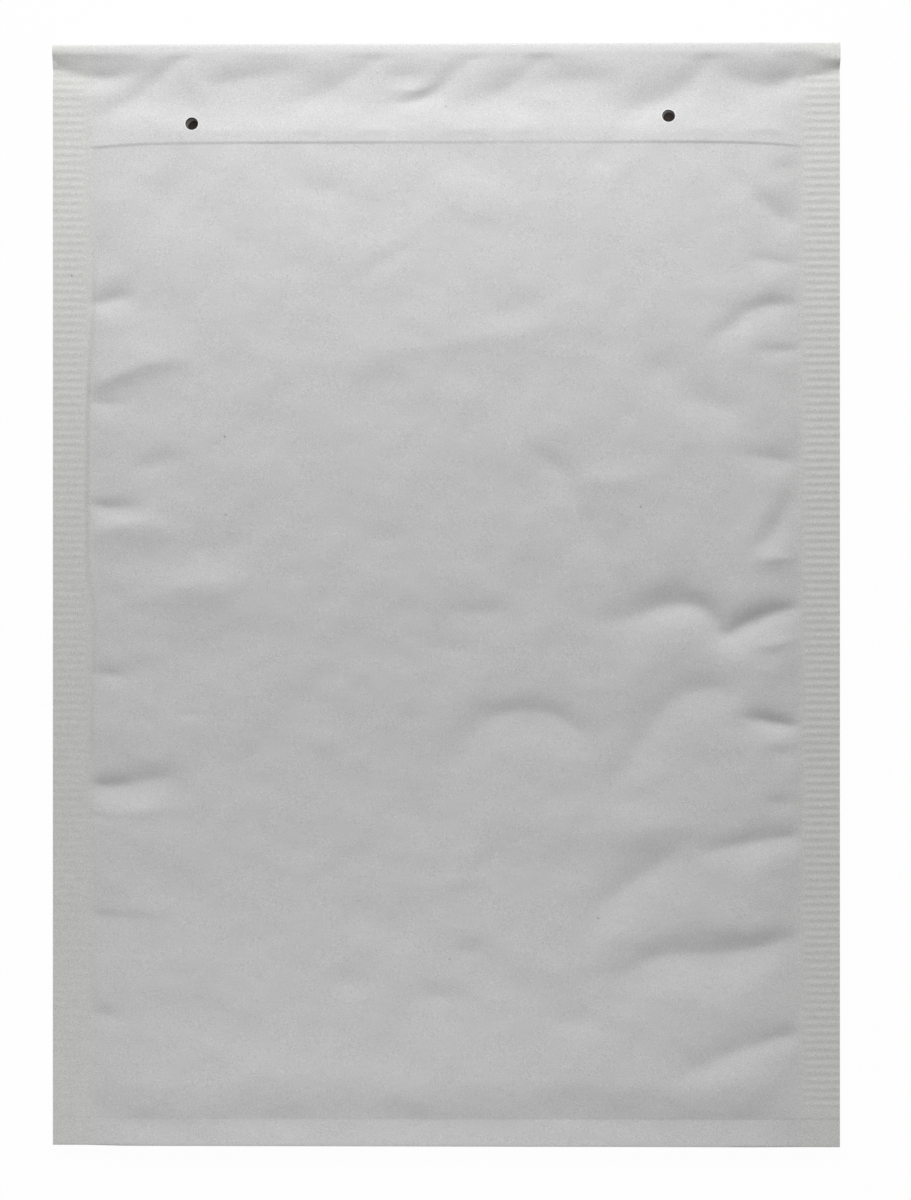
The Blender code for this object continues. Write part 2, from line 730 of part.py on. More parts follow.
def build_liner(material):
    """The folded bubble film: two plies that meet only at the bottom."""
    skin = Skin()
    fine, coarse = sheet_rows()
    columns, back_columns = sheet_columns()
    low_x = LEFT_SEAM + LINER_INSET
    high_x = RIGHT_SEAM - LINER_INSET
    margin = MM / 10
    columns = [x for x in columns if low_x - margin < x < high_x + margin]
    back_columns = [x for x in back_columns if low_x - margin < x < high_x + margin]
    numbers = [n for n, y in enumerate(coarse) if LINER_END_Y <= y <= LINER_TOP_Y]
    top = []
    bottom = []
    for number in numbers:
        y = coarse[number]
        places = [(x, y, inside_height(x, number, fine, coarse) - SEAT_GAP) for x in columns]
        top.append(skin.chain(places))
        places = [(x, y, back_height(x, y) + PAPER + SEAT_GAP) for x in back_columns]
        bottom.append(skin.chain(places))
    slit_y = LINER_END_Y + LINER_FOLD
    slit = {}
    for ply, z in (("upper", MIDDLE + POCKET_GAP / 2), ("lower", MIDDLE - POCKET_GAP / 2)):
        for row, y in (("mouth", LINER_TOP_Y), ("end", slit_y)):
            slit[ply, row] = skin.chain([(columns[0], y, z), (columns[-1], y, z)])
    for one, other in zip(top, top[1:]):
        skin.strip(one, other)
    for one, other in zip(bottom, bottom[1:]):
        skin.strip(one, other)
    skin.strip(slit["upper", "mouth"], slit["upper", "end"])
    skin.strip(slit["lower", "mouth"], slit["lower", "end"])
    skin.strip(slit["upper", "end"], slit["lower", "end"])
    skin.face(top[0] + slit["upper", "mouth"][::-1])
    skin.face(bottom[0] + slit["lower", "mouth"][::-1])
    skin.face(top[-1] + bottom[-1][::-1])
    for end in (0, -1):
        outline = [row[end] for row in top] + [row[end] for row in bottom[::-1]]
        outline += [slit["lower", "mouth"][end], slit["lower", "end"][end]]
        outline += [slit["upper", "end"][end], slit["upper", "mouth"][end]]
        skin.face(outline)
    return skin.build("bubble_liner", material)


def build_strip(name, width, end_inset, low_z, thickness, material):
    """A thin flat strip across the flap."""
    shape = bmesh.new()
    bmesh.ops.create_cube(shape, size=1.0)
    bmesh.ops.scale(shape, vec=(WIDTH - 2 * end_inset, width, thickness), verts=shape.verts)
    mesh = bpy.data.meshes.new(name)
    shape.to_mesh(mesh)
    shape.free()
    mesh.materials.append(material)
    strip = bpy.data.objects.new(name, mesh)
    strip.location = (0.0, STRIP_Y, low_z + thickness / 2)
    bpy.context.collection.objects.link(strip)
    return strip


def make_material(name, color, roughness):
    """A plain non-metal finish."""
    material = bpy.data.materials.new(name)
    material.use_nodes = True
    shader = material.node_tree.nodes["Principled BSDF"]
    shader.inputs["Base Color"].default_value = (*color, 1.0)
    shader.inputs["Roughness"].default_value = roughness
    shader.inputs["Metallic"].default_value = 0.0
    return material


def main():
    for piece in list(bpy.data.objects):
        bpy.data.objects.remove(piece, do_unlink=True)
    build_paper(make_material("white_kraft_paper", (0.62, 0.62, 0.61), 0.85))
    build_liner(make_material("bubble_film", (0.78, 0.80, 0.82), 0.25))
    adhesive_z = PAPER + SEAT_GAP
    release_z = adhesive_z + ADHESIVE_THICKNESS + SEAT_GAP
    adhesive = make_material("adhesive", (0.80, 0.78, 0.70), 0.35)
    release = make_material("release_paper", (0.72, 0.74, 0.76), 0.45)
    build_strip("adhesive_strip", ADHESIVE_WIDTH, ADHESIVE_END_INSET, adhesive_z, ADHESIVE_THICKNESS, adhesive)
    build_strip("release_strip", RELEASE_WIDTH, RELEASE_END_INSET, release_z, RELEASE_THICKNESS, release)


main()
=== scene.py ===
"""Looks of the padded mailer: the creased and crimped paper, its bubble film, and the strips on the flap."""
import math

import bmesh
import bpy
import numpy as np
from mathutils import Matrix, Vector


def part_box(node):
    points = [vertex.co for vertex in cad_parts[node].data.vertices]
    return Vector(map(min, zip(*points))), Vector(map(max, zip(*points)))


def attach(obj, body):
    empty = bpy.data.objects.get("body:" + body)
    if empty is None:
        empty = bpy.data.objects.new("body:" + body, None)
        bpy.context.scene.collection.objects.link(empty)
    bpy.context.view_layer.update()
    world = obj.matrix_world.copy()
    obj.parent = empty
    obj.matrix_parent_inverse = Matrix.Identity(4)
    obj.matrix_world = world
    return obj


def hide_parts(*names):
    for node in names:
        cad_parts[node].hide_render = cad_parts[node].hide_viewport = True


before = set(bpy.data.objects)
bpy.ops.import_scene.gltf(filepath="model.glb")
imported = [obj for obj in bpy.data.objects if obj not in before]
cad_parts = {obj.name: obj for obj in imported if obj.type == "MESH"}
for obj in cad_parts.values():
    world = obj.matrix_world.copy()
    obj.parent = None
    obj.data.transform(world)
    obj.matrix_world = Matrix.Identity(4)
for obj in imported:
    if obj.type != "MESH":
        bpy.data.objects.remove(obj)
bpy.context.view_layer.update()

MM = 0.001

# Outline, from the frame
SHEET_LOW, SHEET_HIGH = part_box("paper_envelope")
HALF_WIDTH = (SHEET_HIGH[0] - SHEET_LOW[0]) / 2
HALF_LENGTH = (SHEET_HIGH[1] - SHEET_LOW[1]) / 2
LINER_LOW, LINER_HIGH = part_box("bubble_liner")
LINER_TOP_Y = LINER_HIGH[1]
LINER_END_Y = LINER_LOW[1]

# Layers, flap and seals, as on the solids
PAPER = 0.0002
SEAT_GAP = 0.0003
LINER_PLY = 0.0024
POCKET_GAP = 0.0004
STRIP_STACK = 0.0013
FLAP_DEPTH = 0.050
FLAP_RAMP = 0.0080
MOUTH_SETBACK = 0.008
LEFT_SEAL = 0.0117
RIGHT_SEAL = 0.0125
SEAL_THICKNESS = 0.0006
LEFT_SEAM = LEFT_SEAL - HALF_WIDTH
RIGHT_SEAM = HALF_WIDTH - RIGHT_SEAL
BODY_HEIGHT = 2 * (PAPER + SEAT_GAP + LINER_PLY) + POCKET_GAP
MIDDLE = BODY_HEIGHT / 2
SEAL_TOP = MIDDLE + SEAL_THICKNESS / 2

# Top fold, and the valley, shelf and body of the front below it
FOLD_HEIGHT = 0.0056
FOLD_REACH = 0.0027
FOLD_CORNER_SAG = 0.0006
FOLD_POWER = 6
FOLD_TILT = 0.0004
VALLEY_DROP = 0.0180
VALLEY_DEPTH = 0.0019
SHELF_DROP = 0.0285
SHELF_DEPTH = 0.0006
BODY_DROP = 0.0700
BODY_SAG = 0.0003

# Step over the film's upper edge: its arch and drooping ends, and how its height changes from side to side
STEP_HEIGHT = 0.00029
STEP_WIDTH = 0.0011
STEP_FADE = 0.0100
STEP_DECAY = 6
STEP_ARCH = 0.0003
STEP_DROOP = 0.0013
DROOP_POWER = 8
STEP_LEVEL = 0.85
STEP_SWELL = 0.3
STEP_SWING = 0.0207
STEP_PEAK = -0.045
STEP_CORNER = 0.6
STEP_CORNER_START = 0.75

# Dips of the seals beside the mouth
CORNER_DIP = 0.0007
CORNER_REACH = 0.0070
LEFT_DIP_DROP = 0.0070
RIGHT_DIP_DROP = 0.0081
CORNER_SLANT = 0.26
RIGHT_ROLL = 0.0028

# Ramps from the seams to the body, and the margin at the bottom fold
SEAM_FADE = 0.0018
FRONT_RAMP = 0.0170
BACK_RAMP = 0.0140
END_RAMP = 0.0215
BOTTOM_MARGIN = 0.009
MARGIN_FALL = 0.0014
MARGIN_TILT = 0.4
MARGIN_LIFT = 0.0012
END_RISE = 0.0003
BOTTOM_REACH = 0.0005

# Crimped ribs, and their share of the full height at the mouth and at the end of the fade
LEFT_RIBS = 0.0100
RIGHT_RIBS = 0.0113
RIB_PITCH = 0.00256
RIB_LEAD = 0.0008
RIB_END_MARGIN = 0.0110
RIB_HEIGHT = 0.000135
RIB_FADE = 0.290
LEFT_RIB_SHARES = (0.90, 0.20)
RIGHT_RIB_SHARES = (1.12, 0.80)

# Columns of a seal: share of the ribs' width in from the outer edge, and of the ribs' height there
RIB_COLUMNS = (0.0, 0.06, 0.3, 0.6, 0.9, 1.0)
RIB_COLUMN_SHARES = (0.7, 1.0, 1.0, 1.0, 1.0, 0.15)

# Bubble film
LINER_FOLD = 0.005
FILM = 0.00035
BUBBLE_PITCH = 0.0115
BUBBLE_RADIUS = 0.0050

# Rows of the folds, the mouth and the flap's edge
FOLD_Y = HALF_LENGTH - FOLD_REACH
MOUTH_Y = HALF_LENGTH - MOUTH_SETBACK
FLAP_Y = HALF_LENGTH - FLAP_DEPTH
END_Y = BOTTOM_REACH - HALF_LENGTH

# Punched holes: right of the middle and below the top fold
HOLES = ((-0.0805, 0.0254), (0.0707, 0.0232))
HOLE_RADIUS = 0.00205
# Width of the painted highlight round each hole's rim
HOLE_HIGHLIGHT_WIDTH = 0.00035
# Reach of the painted shade on the floor round each hole
HOLE_SHADE_REACH = 3 * HOLE_RADIUS

# Cuts through front, back and flap: top and bottom by the body's height, and shift right and up
PUNCHES = (
    (1.5, 0.30, 0.0, 0.0),
    (0.28, 0.13, 0.0005, -0.0004),
    (0.1, -0.2, 0.0003, -0.0003),
)

# Random waves: how many, lengths, slope, seed, and the middle and width of their directions in radians
WAVE_COUNT = 90
WAVE_SHORTEST = 0.007
WAVE_LONGEST = 0.040
WAVE_SLOPE = 0.034
WAVE_SEED = 91
WAVE_HEADING = 1.85
WAVE_FAN = 2.4

# Mesh steps, and the angles in degrees above which an edge stays sharp
ROW_STEP = 0.00072
COLUMN_STEP = 0.0018
FINE_BAND = 0.0024
FINE_STEP = 0.00025
BACK_STEP = 0.0050
BUBBLE_STEP = 0.0016
RIB_SAMPLES = 6
FOLD_SEGMENTS = 14
END_SEGMENTS = 8
HOLE_SEGMENTS = 48
PAPER_SHARP = 50
FILM_SHARP = 60

# Finish of the paper: the warmer colour starts and ends at these multiples of the seal's width
PAPER_COLOR = (0.640, 0.640, 0.640, 1)
SEAL_COLOR = (0.640, 0.638, 0.620, 1)
SEAL_BLEND = (1.3, 0.7)
PAPER_ROUGHNESS = 0.85
PAPER_SHINE = 0.25
BUMP_STRENGTH = 0.12
BUMP_DISTANCE = 0.0001

# Noises of the paper: features per metre, detail, spread round 1 and stretch
CLOUDS = (55, 3, 0.012)
FIBRES = (500, 4, 0.024, (0.4, 1, 1))
GRAIN = (4500, 1, 0.24)
BUMPS = (1500, 3, 1.0, (1, 0.5, 1))
NOISE_RANGE = (0.25, 0.75)
NOISE_ROUGHNESS = 0.6

# Smooth finishes: colour, roughness, features per metre and spread round 1
FINISHES = {
    "bubble_film": ((0.78, 0.80, 0.82), 0.25, 90, 0.05),
    "adhesive": ((0.80, 0.78, 0.70), 0.35, 250, 0.08),
    "release_paper": ((0.72, 0.74, 0.76), 0.45, 120, 0.03),
}
FINISH_DETAIL = 3

# Tone of the painted highlight round the holes' rims, and of the specks. A speck is right of the middle and
# below the top fold, and then has its radius, all in mm.
RIM_HIGHLIGHT_TONE = 1.22
SPECK_TONE = 0.62
SPECKS = (
    (-70.0, 124.8, 0.45),
    (-69.7, 149.6, 0.35),
    (-119.0, 73.4, 0.40),
    (61.8, 147.1, 0.45),
    (48.4, 277.3, 0.45),
    (1.4, 290.3, 0.35),
    (0.2, 20.0, 0.35),
)

# Painted shade along the crease beside the left seal, where the pad rises: below the top fold and in from the
# seam in mm, and its share of the tone
SEAM_SHADE = (
    (60, 1.0, 0.0),
    (72, 1.6, 0.5),
    (90, 0.9, 0.6),
    (114, -0.4, 1.0),
    (134, -0.6, 1.0),
    (160, -0.7, 0.8),
    (177, 1.2, 0.6),
    (189, 1.8, 0.3),
    (198, 1.2, 0.3),
    (207, 0.8, 0.5),
    (220, 0.8, 0.5),
    (232, 0.4, 0.0),
)
SEAM_SHADE_WIDTH = 0.0014
SEAM_SHADE_TONE = 0.10
SEAM_SHADE_RANGE = 0.008

# Painted shade in a thin line across the whole width, in the crease where the bottom margin begins, and its
# tone at the left and right edge
END_SHADE_WIDTH = 0.0007
END_SHADE_TONES = (0.03, 0.09)

# Camera: a pixel of the photo in metres, the photo's rows, the aim in pixels and the tilt in degrees
PIXEL = 1 / 3148
PHOTO_ROWS = 1200
CAMERA_AIM = (10.0, -5.0)
CAMERA_TILT = 0.95
CAMERA_DISTANCE = 0.90
CAMERA_RANGE = 10.0
SENSOR_WIDTH = 36.0

# Lamps: name, place, target, sides, power, and spread in degrees
LAMPS = (
    ("key", (-0.08, 0.80, 0.70), (0, 0.02, 0), (0.40, 0.40), 8.9, 180),
    ("top_fill", (0.01, 0.20, 0.30), (0.01, 0.20, 0), (0.28, 0.08), 0.027, 60),
    ("bottom_fill", (-0.03, -0.20, 0.34), (-0.03, -0.20, 0), (0.32, 0.08), 0.040, 60),
)

# Floor and backdrop: how far the floor reaches and lies below the mailer, and the light from all round
FLOOR_REACH = 3.0
FLOOR_DROP = 0.0002
FLOOR_COLOR = (0.80, 0.80, 0.80, 1)
# Painted shade: a dark floor colour under the punched holes, standing in for the shadow down them
HOLE_SHADE_COLOR = (0.20, 0.155, 0.13, 1)
FLOOR_ROUGHNESS = 0.9
FLOOR_GLOW = 0.97
WORLD_LIGHT = 0.22

# Creases: parts of a route between two points, least half width and distance, and the section's power
ROUTE_PARTS = 4
LEAST_WIDTH = 0.0006
LEAST_DISTANCE = 1e-7
CREASE_POWER = 1.6

# Sides that creases hang on: where distances start, their direction, and the creases' strength
SIDES = {
    "left": (LEFT_SEAM, 1, 1.3),
    "middle": (0.0, 1, 1.18),
    "right": (RIGHT_SEAM, -1, 1.18),
}

# Folds and puckers of the front: the side that they hang on, how much wider they are below the line
# than above it, and points. A point has the distance in from that side's seam, or right of the middle,
# and the distance below the top fold, then height (below 0 for a valley) and half width, all in mm.
CREASES = [
    # Top left corner
    ("left", 1.2, [(-1, 12, -0.3, 2.6), (4, 11, -0.7, 3.2), (12, 9.5, -0.7, 3.4), (20, 7.5, 0, 3)]),
    ("left", 1.4, [(30, 4, -0.6, 2.2), (22, 11, -0.8, 3), (13, 18, -0.8, 3.4), (3, 23, -0.3, 3)]),
    ("left", 1.0, [(31, 7, 0.3, 1.8), (33, 12, 0.5, 2.4), (35, 16, 0.3, 2.6), (36, 20, 0, 2.6)]),
    ("left", 1.2, [
        (34, 12.5, 0, 3.2), (42, 12, -0.6, 3.8), (52, 10.5, -0.8, 4), (61, 9.5, -0.4, 4), (68, 9, 0, 3.6),
    ]),
    # Top middle
    ("middle", 1.2, [
        (-20, 4, -0.3, 2.6), (-28, 9.5, -0.7, 3.6), (-37, 15, -0.8, 4), (-46, 18.5, -0.4, 3.8),
        (-50, 20, 0, 3.4),
    ]),
    ("middle", 1.0, [(-19, 10.5, 0, 3), (-12, 10.5, -0.4, 3), (-6, 9.5, 0, 3)]),
    ("middle", 1.4, [
        (10, 4, -0.6, 2.4), (3, 9, -0.8, 2.8), (-3, 15, -0.9, 2.4), (-11, 18.5, -0.6, 1.4),
        (-16, 18.5, 0, 1.2),
    ]),
    ("middle", 0.8, [(-18, 15, 0, 1.6), (-12, 15, 0.3, 1.7), (-6, 14, 0.3, 1.8), (-2, 10, 0, 2)]),
    ("middle", 1.3, [(31, 4, -0.4, 2.8), (25, 10, -0.7, 3.6), (18, 15.5, -0.8, 3.8), (11, 18, 0, 3.4)]),
    ("middle", 1.2, [(28, 14, 0, 4), (36, 12, -0.7, 4.6), (46, 11.5, -0.7, 4.6), (56, 12, 0, 4)]),
    ("middle", 1.0, [(26, 20, 0, 2.4), (32, 18, 0.25, 2.4), (38, 20, 0, 2.4)]),
    # Top right corner
    ("middle", 1.2, [
        (83, 5, -0.5, 3.2), (78, 12, -0.9, 4.2), (69, 18, -1, 4.6), (60, 21.5, -0.7, 4.2), (52, 23, 0, 3.6),
    ]),
    ("right", 1.1, [
        (27, 7, 0, 3.4), (21, 11.5, -0.9, 4.6), (12, 13.5, -1.2, 5), (4, 13, -1.2, 4.6),
        (-2, 11, -0.6, 3.6),
    ]),
    # Left side, from the top down
    ("left", 1.0, [(33, 37, 0, 4.6), (28, 45, -0.5, 5.4), (22, 56, -0.4, 5.6), (16, 66, 0, 5)]),
    ("left", 1.2, [(0.5, 83, -0.3, 1.2), (4, 82, -0.8, 2.6), (10, 80.5, -0.9, 3.2), (15, 80, 0, 3)]),
    ("left", 0.45, [
        (1, 110, 0.2, 3), (4.5, 107.5, 0.6, 5), (11, 104.5, 0.8, 6), (18, 101.8, 0.7, 6.4),
        (26, 101, 0.4, 6.4), (34, 101, 0, 6),
    ]),
    ("left", 1.2, [(0.5, 113.5, -0.2, 1.2), (4, 114, -0.4, 2.4), (10, 114.5, -0.3, 3), (18, 114, 0, 3.2)]),
    ("left", 1.2, [(14, 137, 0, 3.6), (22, 133, -0.5, 4.4), (32, 131, 0, 4.4)]),
    ("left", 1.5, [
        (0.5, 146, -0.4, 1.2), (4, 147, -0.8, 2.4), (10, 147.4, -0.8, 3.2), (18, 147.5, 0, 3.2),
    ]),
    ("left", 2.2, [
        (1, 157, 0.2, 2.4), (8, 153.5, 0.6, 2.8), (16, 152, 0.6, 3), (24, 154, 0.3, 3), (32, 156, 0, 3),
    ]),
    ("left", 1.0, [(28, 162, 0, 4.4), (38, 160, -0.4, 5.4), (54, 158, 0, 5.4)]),
    ("left", 1.4, [(18, 176, 0, 4), (30, 173, 0.5, 4.6), (42, 171, 0.4, 4.6), (56, 169, 0, 4)]),
    ("left", 1.2, [(20, 197, 0, 6), (32, 195, -0.6, 7), (46, 192, 0, 6)]),
    ("left", 1.2, [(2, 200, -0.2, 2), (8, 200.5, -0.5, 2.8), (15, 201, 0, 2.8)]),
    ("left", 1.5, [(26, 213, 0, 1.4), (32, 213, -0.2, 1.6), (37, 213, 0, 1.4)]),
    ("left", 1.5, [
        (0, 235, -0.4, 1.4), (5, 236, -1, 3), (14, 235, -1.1, 4), (22, 233.5, -0.9, 3.8), (31, 233, 0, 3.4),
    ]),
    ("left", 1.5, [(-5, 244.5, -0.1, 0.8), (1, 245, -0.25, 1), (8, 247, -0.1, 1.2)]),
    ("left", 1.2, [(6, 245, 0, 2.8), (16, 243.5, 0.5, 3.6), (28, 243, 0, 3.6)]),
    ("left", 2.4, [(0, 276.5, -0.1, 1), (7, 277, -0.2, 1.4), (18, 278, -0.2, 2.2), (30, 279, 0, 2.2)]),
    ("left", 1.4, [(1, 308, 0, 2), (5, 308.5, -0.4, 2.4), (10, 309, 0, 2.4)]),
    # Right side, from the top down
    ("right", 1.5, [(9, 40, 0, 1.8), (4, 39.5, -0.3, 2), (1, 38.5, 0, 1.4)]),
    ("right", 1.6, [
        (23, 41, 0, 2.4), (19, 44, -0.5, 2.6), (15, 48, -0.6, 2.6), (11, 52, -1.1, 3.2),
        (6, 55.5, -1.1, 3.2), (1, 58.5, -0.2, 1.6),
    ]),
    ("right", 1.5, [(17, 68, 0, 2.2), (12, 69, -0.6, 2.6), (5, 70, -0.5, 2), (1, 70, -0.1, 1)]),
    ("right", 1.6, [
        (31, 94, 0, 2.6), (26, 92.5, -0.5, 2.8), (20.5, 89, -0.8, 2.8), (16, 85, -1.1, 3),
        (9, 83.3, -1.1, 3), (1, 82.5, -0.2, 1.4),
    ]),
    ("right", 1.4, [(14, 98, 0, 2.2), (10, 98, -0.5, 2.4), (4, 97.5, -0.5, 2), (1, 97, -0.1, 1)]),
    ("right", 1.2, [(50, 106, 0, 4.4), (43, 103, -0.6, 5), (36, 107, 0, 4.4)]),
    ("right", 1.2, [(38, 113, 0, 4.4), (28, 115, -0.7, 4.6), (16, 118, 0, 4)]),
    ("right", 1.4, [(17, 130.5, 0, 2.6), (12, 131.5, -0.7, 3), (6, 132.5, -0.8, 3), (1, 133.5, -0.1, 1.4)]),
    ("right", 1.2, [(80, 141, 0, 6), (60, 139, 0.5, 6), (42, 137, 0, 6)]),
    ("right", 1.1, [(3, 142, -0.2, 2.4), (5.5, 149, -0.6, 3), (9.5, 156, -0.7, 3.2), (15, 160, -0.2, 2.6)]),
    ("right", 0.8, [(15, 165, 0, 2.4), (9, 163.5, 0.5, 2.6), (2, 163.5, 0.1, 1.4)]),
    ("right", 1.1, [
        (62, 185.5, 0, 4.4), (54, 182.5, -1.2, 5.6), (47, 180, -1.6, 5.8), (39, 178, -1.8, 5.6),
        (32, 179, -1.8, 4.8), (27, 183.5, -1.6, 4), (23.5, 187.5, -1.7, 3.8), (18, 185, -1.9, 4),
        (11, 182, -1.7, 3.6), (4, 179.7, -0.9, 2.4), (0.5, 178.5, -0.1, 1),
    ]),
    ("right", 0.7, [(15, 192, 0, 2.4), (9, 191, 0.4, 2.4), (2, 189, 0.1, 1.4)]),
    ("right", 1.2, [
        (16, 205, 0, 5), (26, 205, -0.9, 6), (38, 207, -1.1, 6.4), (47, 215, -0.9, 6), (54, 228, -1, 5.4),
        (62, 237, 0, 4.6),
    ]),
    ("right", 1.2, [(19, 213.5, 0, 2), (14, 214.5, -1.1, 2.8), (7, 216, -1.6, 3), (1.5, 216.5, -0.5, 1.6)]),
    ("right", 1.3, [(10, 224, 0, 1.8), (6, 225, -0.4, 2), (2, 225, 0, 1.4)]),
    ("right", 1.3, [(11, 241, 0, 2.4), (6, 241, -0.5, 2.6), (1, 240, 0, 1.6)]),
    ("right", 1.0, [(74, 250, 0, 6), (50, 249, 0.5, 6), (22, 247, 0, 6)]),
    ("right", 1.4, [
        (33, 257, 0, 3), (25, 255.5, -0.9, 3.6), (15, 253.5, -1.2, 3.8), (5, 252, -0.9, 3),
        (1, 251, -0.1, 1.4),
    ]),
    ("right", 1.2, [
        (34, 250, 0, 4.4), (43, 258, -0.9, 5.2), (54, 267, -1, 5.6), (64, 275, -0.6, 5), (68, 285, 0, 4.4),
    ]),
    ("right", 1.0, [(53, 278, 0, 3.6), (59, 285, 0.4, 4), (61, 297, 0, 3.6)]),
    ("right", 1.7, [
        (58, 296, 0, 3.4), (52, 293, -0.9, 4.2), (46, 290.5, -1.2, 5), (38, 289, -1.4, 5.4),
        (29, 289, -1.6, 5.6), (19, 288, -1.6, 5.4), (10, 286, -1.5, 4.6), (3, 284, -0.7, 2.8),
        (0.5, 283, -0.1, 1.4),
    ]),
    ("right", 1.2, [
        (44, 331, 0, 4), (34, 326, -0.8, 4.8), (25, 321.5, -1.2, 5.2), (15, 318, -1.3, 5),
        (5, 315, -0.9, 3.6), (0.5, 314, -0.1, 1.4),
    ]),
    # Middle of the front
    ("middle", 1.0, [(-2, 38, 0, 4), (-8, 47, -0.35, 4.4), (-15, 57, 0, 4.4)]),
    ("middle", 1.0, [(-46, 44, 0, 3.6), (-38, 46.5, -0.35, 3.8), (-29, 48, 0, 3.6)]),
    ("middle", 1.1, [(-30, 76, 0, 2.6), (-22, 71, -0.35, 3), (-14, 66, -0.3, 3), (-8, 62, 0, 2.6)]),
    ("middle", 1.2, [(8, 88, 0, 3), (18, 86, -0.25, 3.6), (28, 82, -0.25, 3.6), (36, 79, 0, 3)]),
    ("middle", 1.2, [
        (-45, 104, 0, 4.4), (-25, 99.5, 0.3, 4.8), (0, 96, 0.35, 4.8), (20, 92.5, 0.35, 4.6),
        (38, 89, 0, 4.4),
    ]),
    ("middle", 1.2, [
        (26, 128, 0, 4), (34, 134, -0.8, 4.2), (43, 147, -0.7, 4.6), (50, 164, -0.4, 4.6), (58, 178, 0, 4),
    ]),
    ("middle", 1.2, [(-2, 181, 0, 3.6), (12, 180.5, -0.5, 4.2), (24, 182, 0, 3.6)]),
    ("middle", 1.2, [(-14, 193, 0, 3.6), (-2, 192, -0.4, 4), (12, 194, 0, 3.6)]),
    ("middle", 1.9, [
        (-1, 233, 0, 3.6), (4, 226, -0.6, 3.8), (10, 218.5, -0.9, 4.4), (17, 213.3, -1.1, 4.6),
        (26, 211.8, -1.15, 4.8), (34, 213.2, -1.1, 4.4), (41, 217.5, -1, 3.6), (47, 223, 0, 2.6),
    ]),
    ("middle", 1.0, [(-14, 232, 0, 4), (-9, 244, -0.4, 4.4), (-6, 256, 0, 4)]),
    ("middle", 1.0, [(-8, 268, 0, 4.4), (4, 266, 0.35, 5), (16, 264, 0, 4.4)]),
    ("middle", 1.2, [(-34, 279, 0, 4), (-26, 277.5, -0.5, 4.4), (-18, 279, 0, 4)]),
    ("middle", 1.2, [(0, 289, 0, 4), (8, 288, -0.5, 4.4), (16, 288, 0, 4)]),
    ("middle", 1.2, [(-36, 299, 0, 4), (-29, 298, -0.4, 4.4), (-22, 299, 0, 4)]),
    ("middle", 1.2, [(-10, 303, 0, 4), (-2, 302, -0.5, 4.4), (6, 303, 0, 4)]),
    ("middle", 1.2, [(32, 311, 0, 4), (42, 310, -0.4, 4.4), (52, 312, 0, 4)]),
    # Puckers just above the film's edge
    ("middle", 0.5, [(-76, 29, 0, 1.6), (-70, 28, 0.14, 1.8), (-64, 29, 0, 1.6)]),
    ("middle", 0.5, [(-52, 29, 0, 1.6), (-45, 27.5, 0.14, 1.8), (-38, 29, 0, 1.6)]),
    ("middle", 0.5, [(-32, 29, 0, 1.6), (-22, 27.5, 0.16, 1.8), (-12, 29, 0, 1.6)]),
    ("middle", 0.5, [(-2, 29, 0, 1.6), (7, 27.5, 0.14, 1.8), (14, 29, 0, 1.6)]),
    ("middle", 0.5, [(16, 29, 0, 1.6), (24, 27.5, 0.12, 1.8), (32, 29, 0, 1.6)]),
    ("middle", 0.5, [(72, 29, 0, 1.6), (80, 27.5, 0.14, 1.8), (88, 29, 0, 1.6)]),
    ("middle", 0.5, [(92, 29.5, 0, 1.6), (102, 27.5, 0.25, 2.2), (111, 30, 0, 1.6)]),
]

def clamp(value):
    """The values, kept between 0 and 1."""
    return np.clip(value, 0.0, 1.0)


def ease(share):
    """0 to 1 with level ends."""
    share = clamp(share)
    return share * share * (3 - 2 * share)


def swell(share):
    """0 to 1, steep at first and level at the end, as a filled pad rises from its seam."""
    return np.sin(math.pi / 2 * clamp(share))


def crease_route(start_x, direction, points):
    """Smooth route through the points of a crease: sheet position, height and half width, in metres."""
    places = []
    for across, drop, height, width in points:
        x = start_x + direction * across * MM
        places.append((x, HALF_LENGTH - drop * MM, height * MM, width * MM))
    places = np.array(places)
    padded = np.concatenate([[2 * places[0] - places[1]], places, [2 * places[-1] - places[-2]]])
    route = []
    for before, start, end, after in zip(padded, padded[1:], padded[2:], padded[3:]):
        for share in np.arange(ROUTE_PARTS) / ROUTE_PARTS:
            bend = (2 * before - 5 * start + 4 * end - after) * share ** 2
            bend = bend + (3 * start - before - 3 * end + after) * share ** 3
            route.append(start + ((end - before) * share + bend) / 2)
    route.append(places[-1])
    return np.array(route)


def crease_relief(x, y):
    """Height that the folds and puckers add to the front."""
    total = np.zeros_like(x)
    for side, spread, points in CREASES:
        start_x, direction, strength = SIDES[side]
        route = crease_route(start_x, direction, points)
        deepest = np.zeros_like(x)
        for start, end in zip(route, route[1:]):
            run_x = end[0] - start[0]
            run_y = end[1] - start[1]
            share = clamp(((x - start[0]) * run_x + (y - start[1]) * run_y) / (run_x ** 2 + run_y ** 2))
            off_x = x - start[0] - share * run_x
            off_y = y - start[1] - share * run_y
            distance = np.hypot(off_x, off_y)
            height = start[2] + (end[2] - start[2]) * share
            width = np.maximum(start[3] + (end[3] - start[3]) * share, LEAST_WIDTH)
            upper = 0.5 + 0.5 * off_y / np.maximum(distance, LEAST_DISTANCE)
            width = width * (spread + (1 - spread) * upper)
            bump = height * np.exp(-(distance / width) ** CREASE_POWER)
            deepest = np.where(np.abs(bump) > np.abs(deepest), bump, deepest)
        total += deepest * strength
    return total


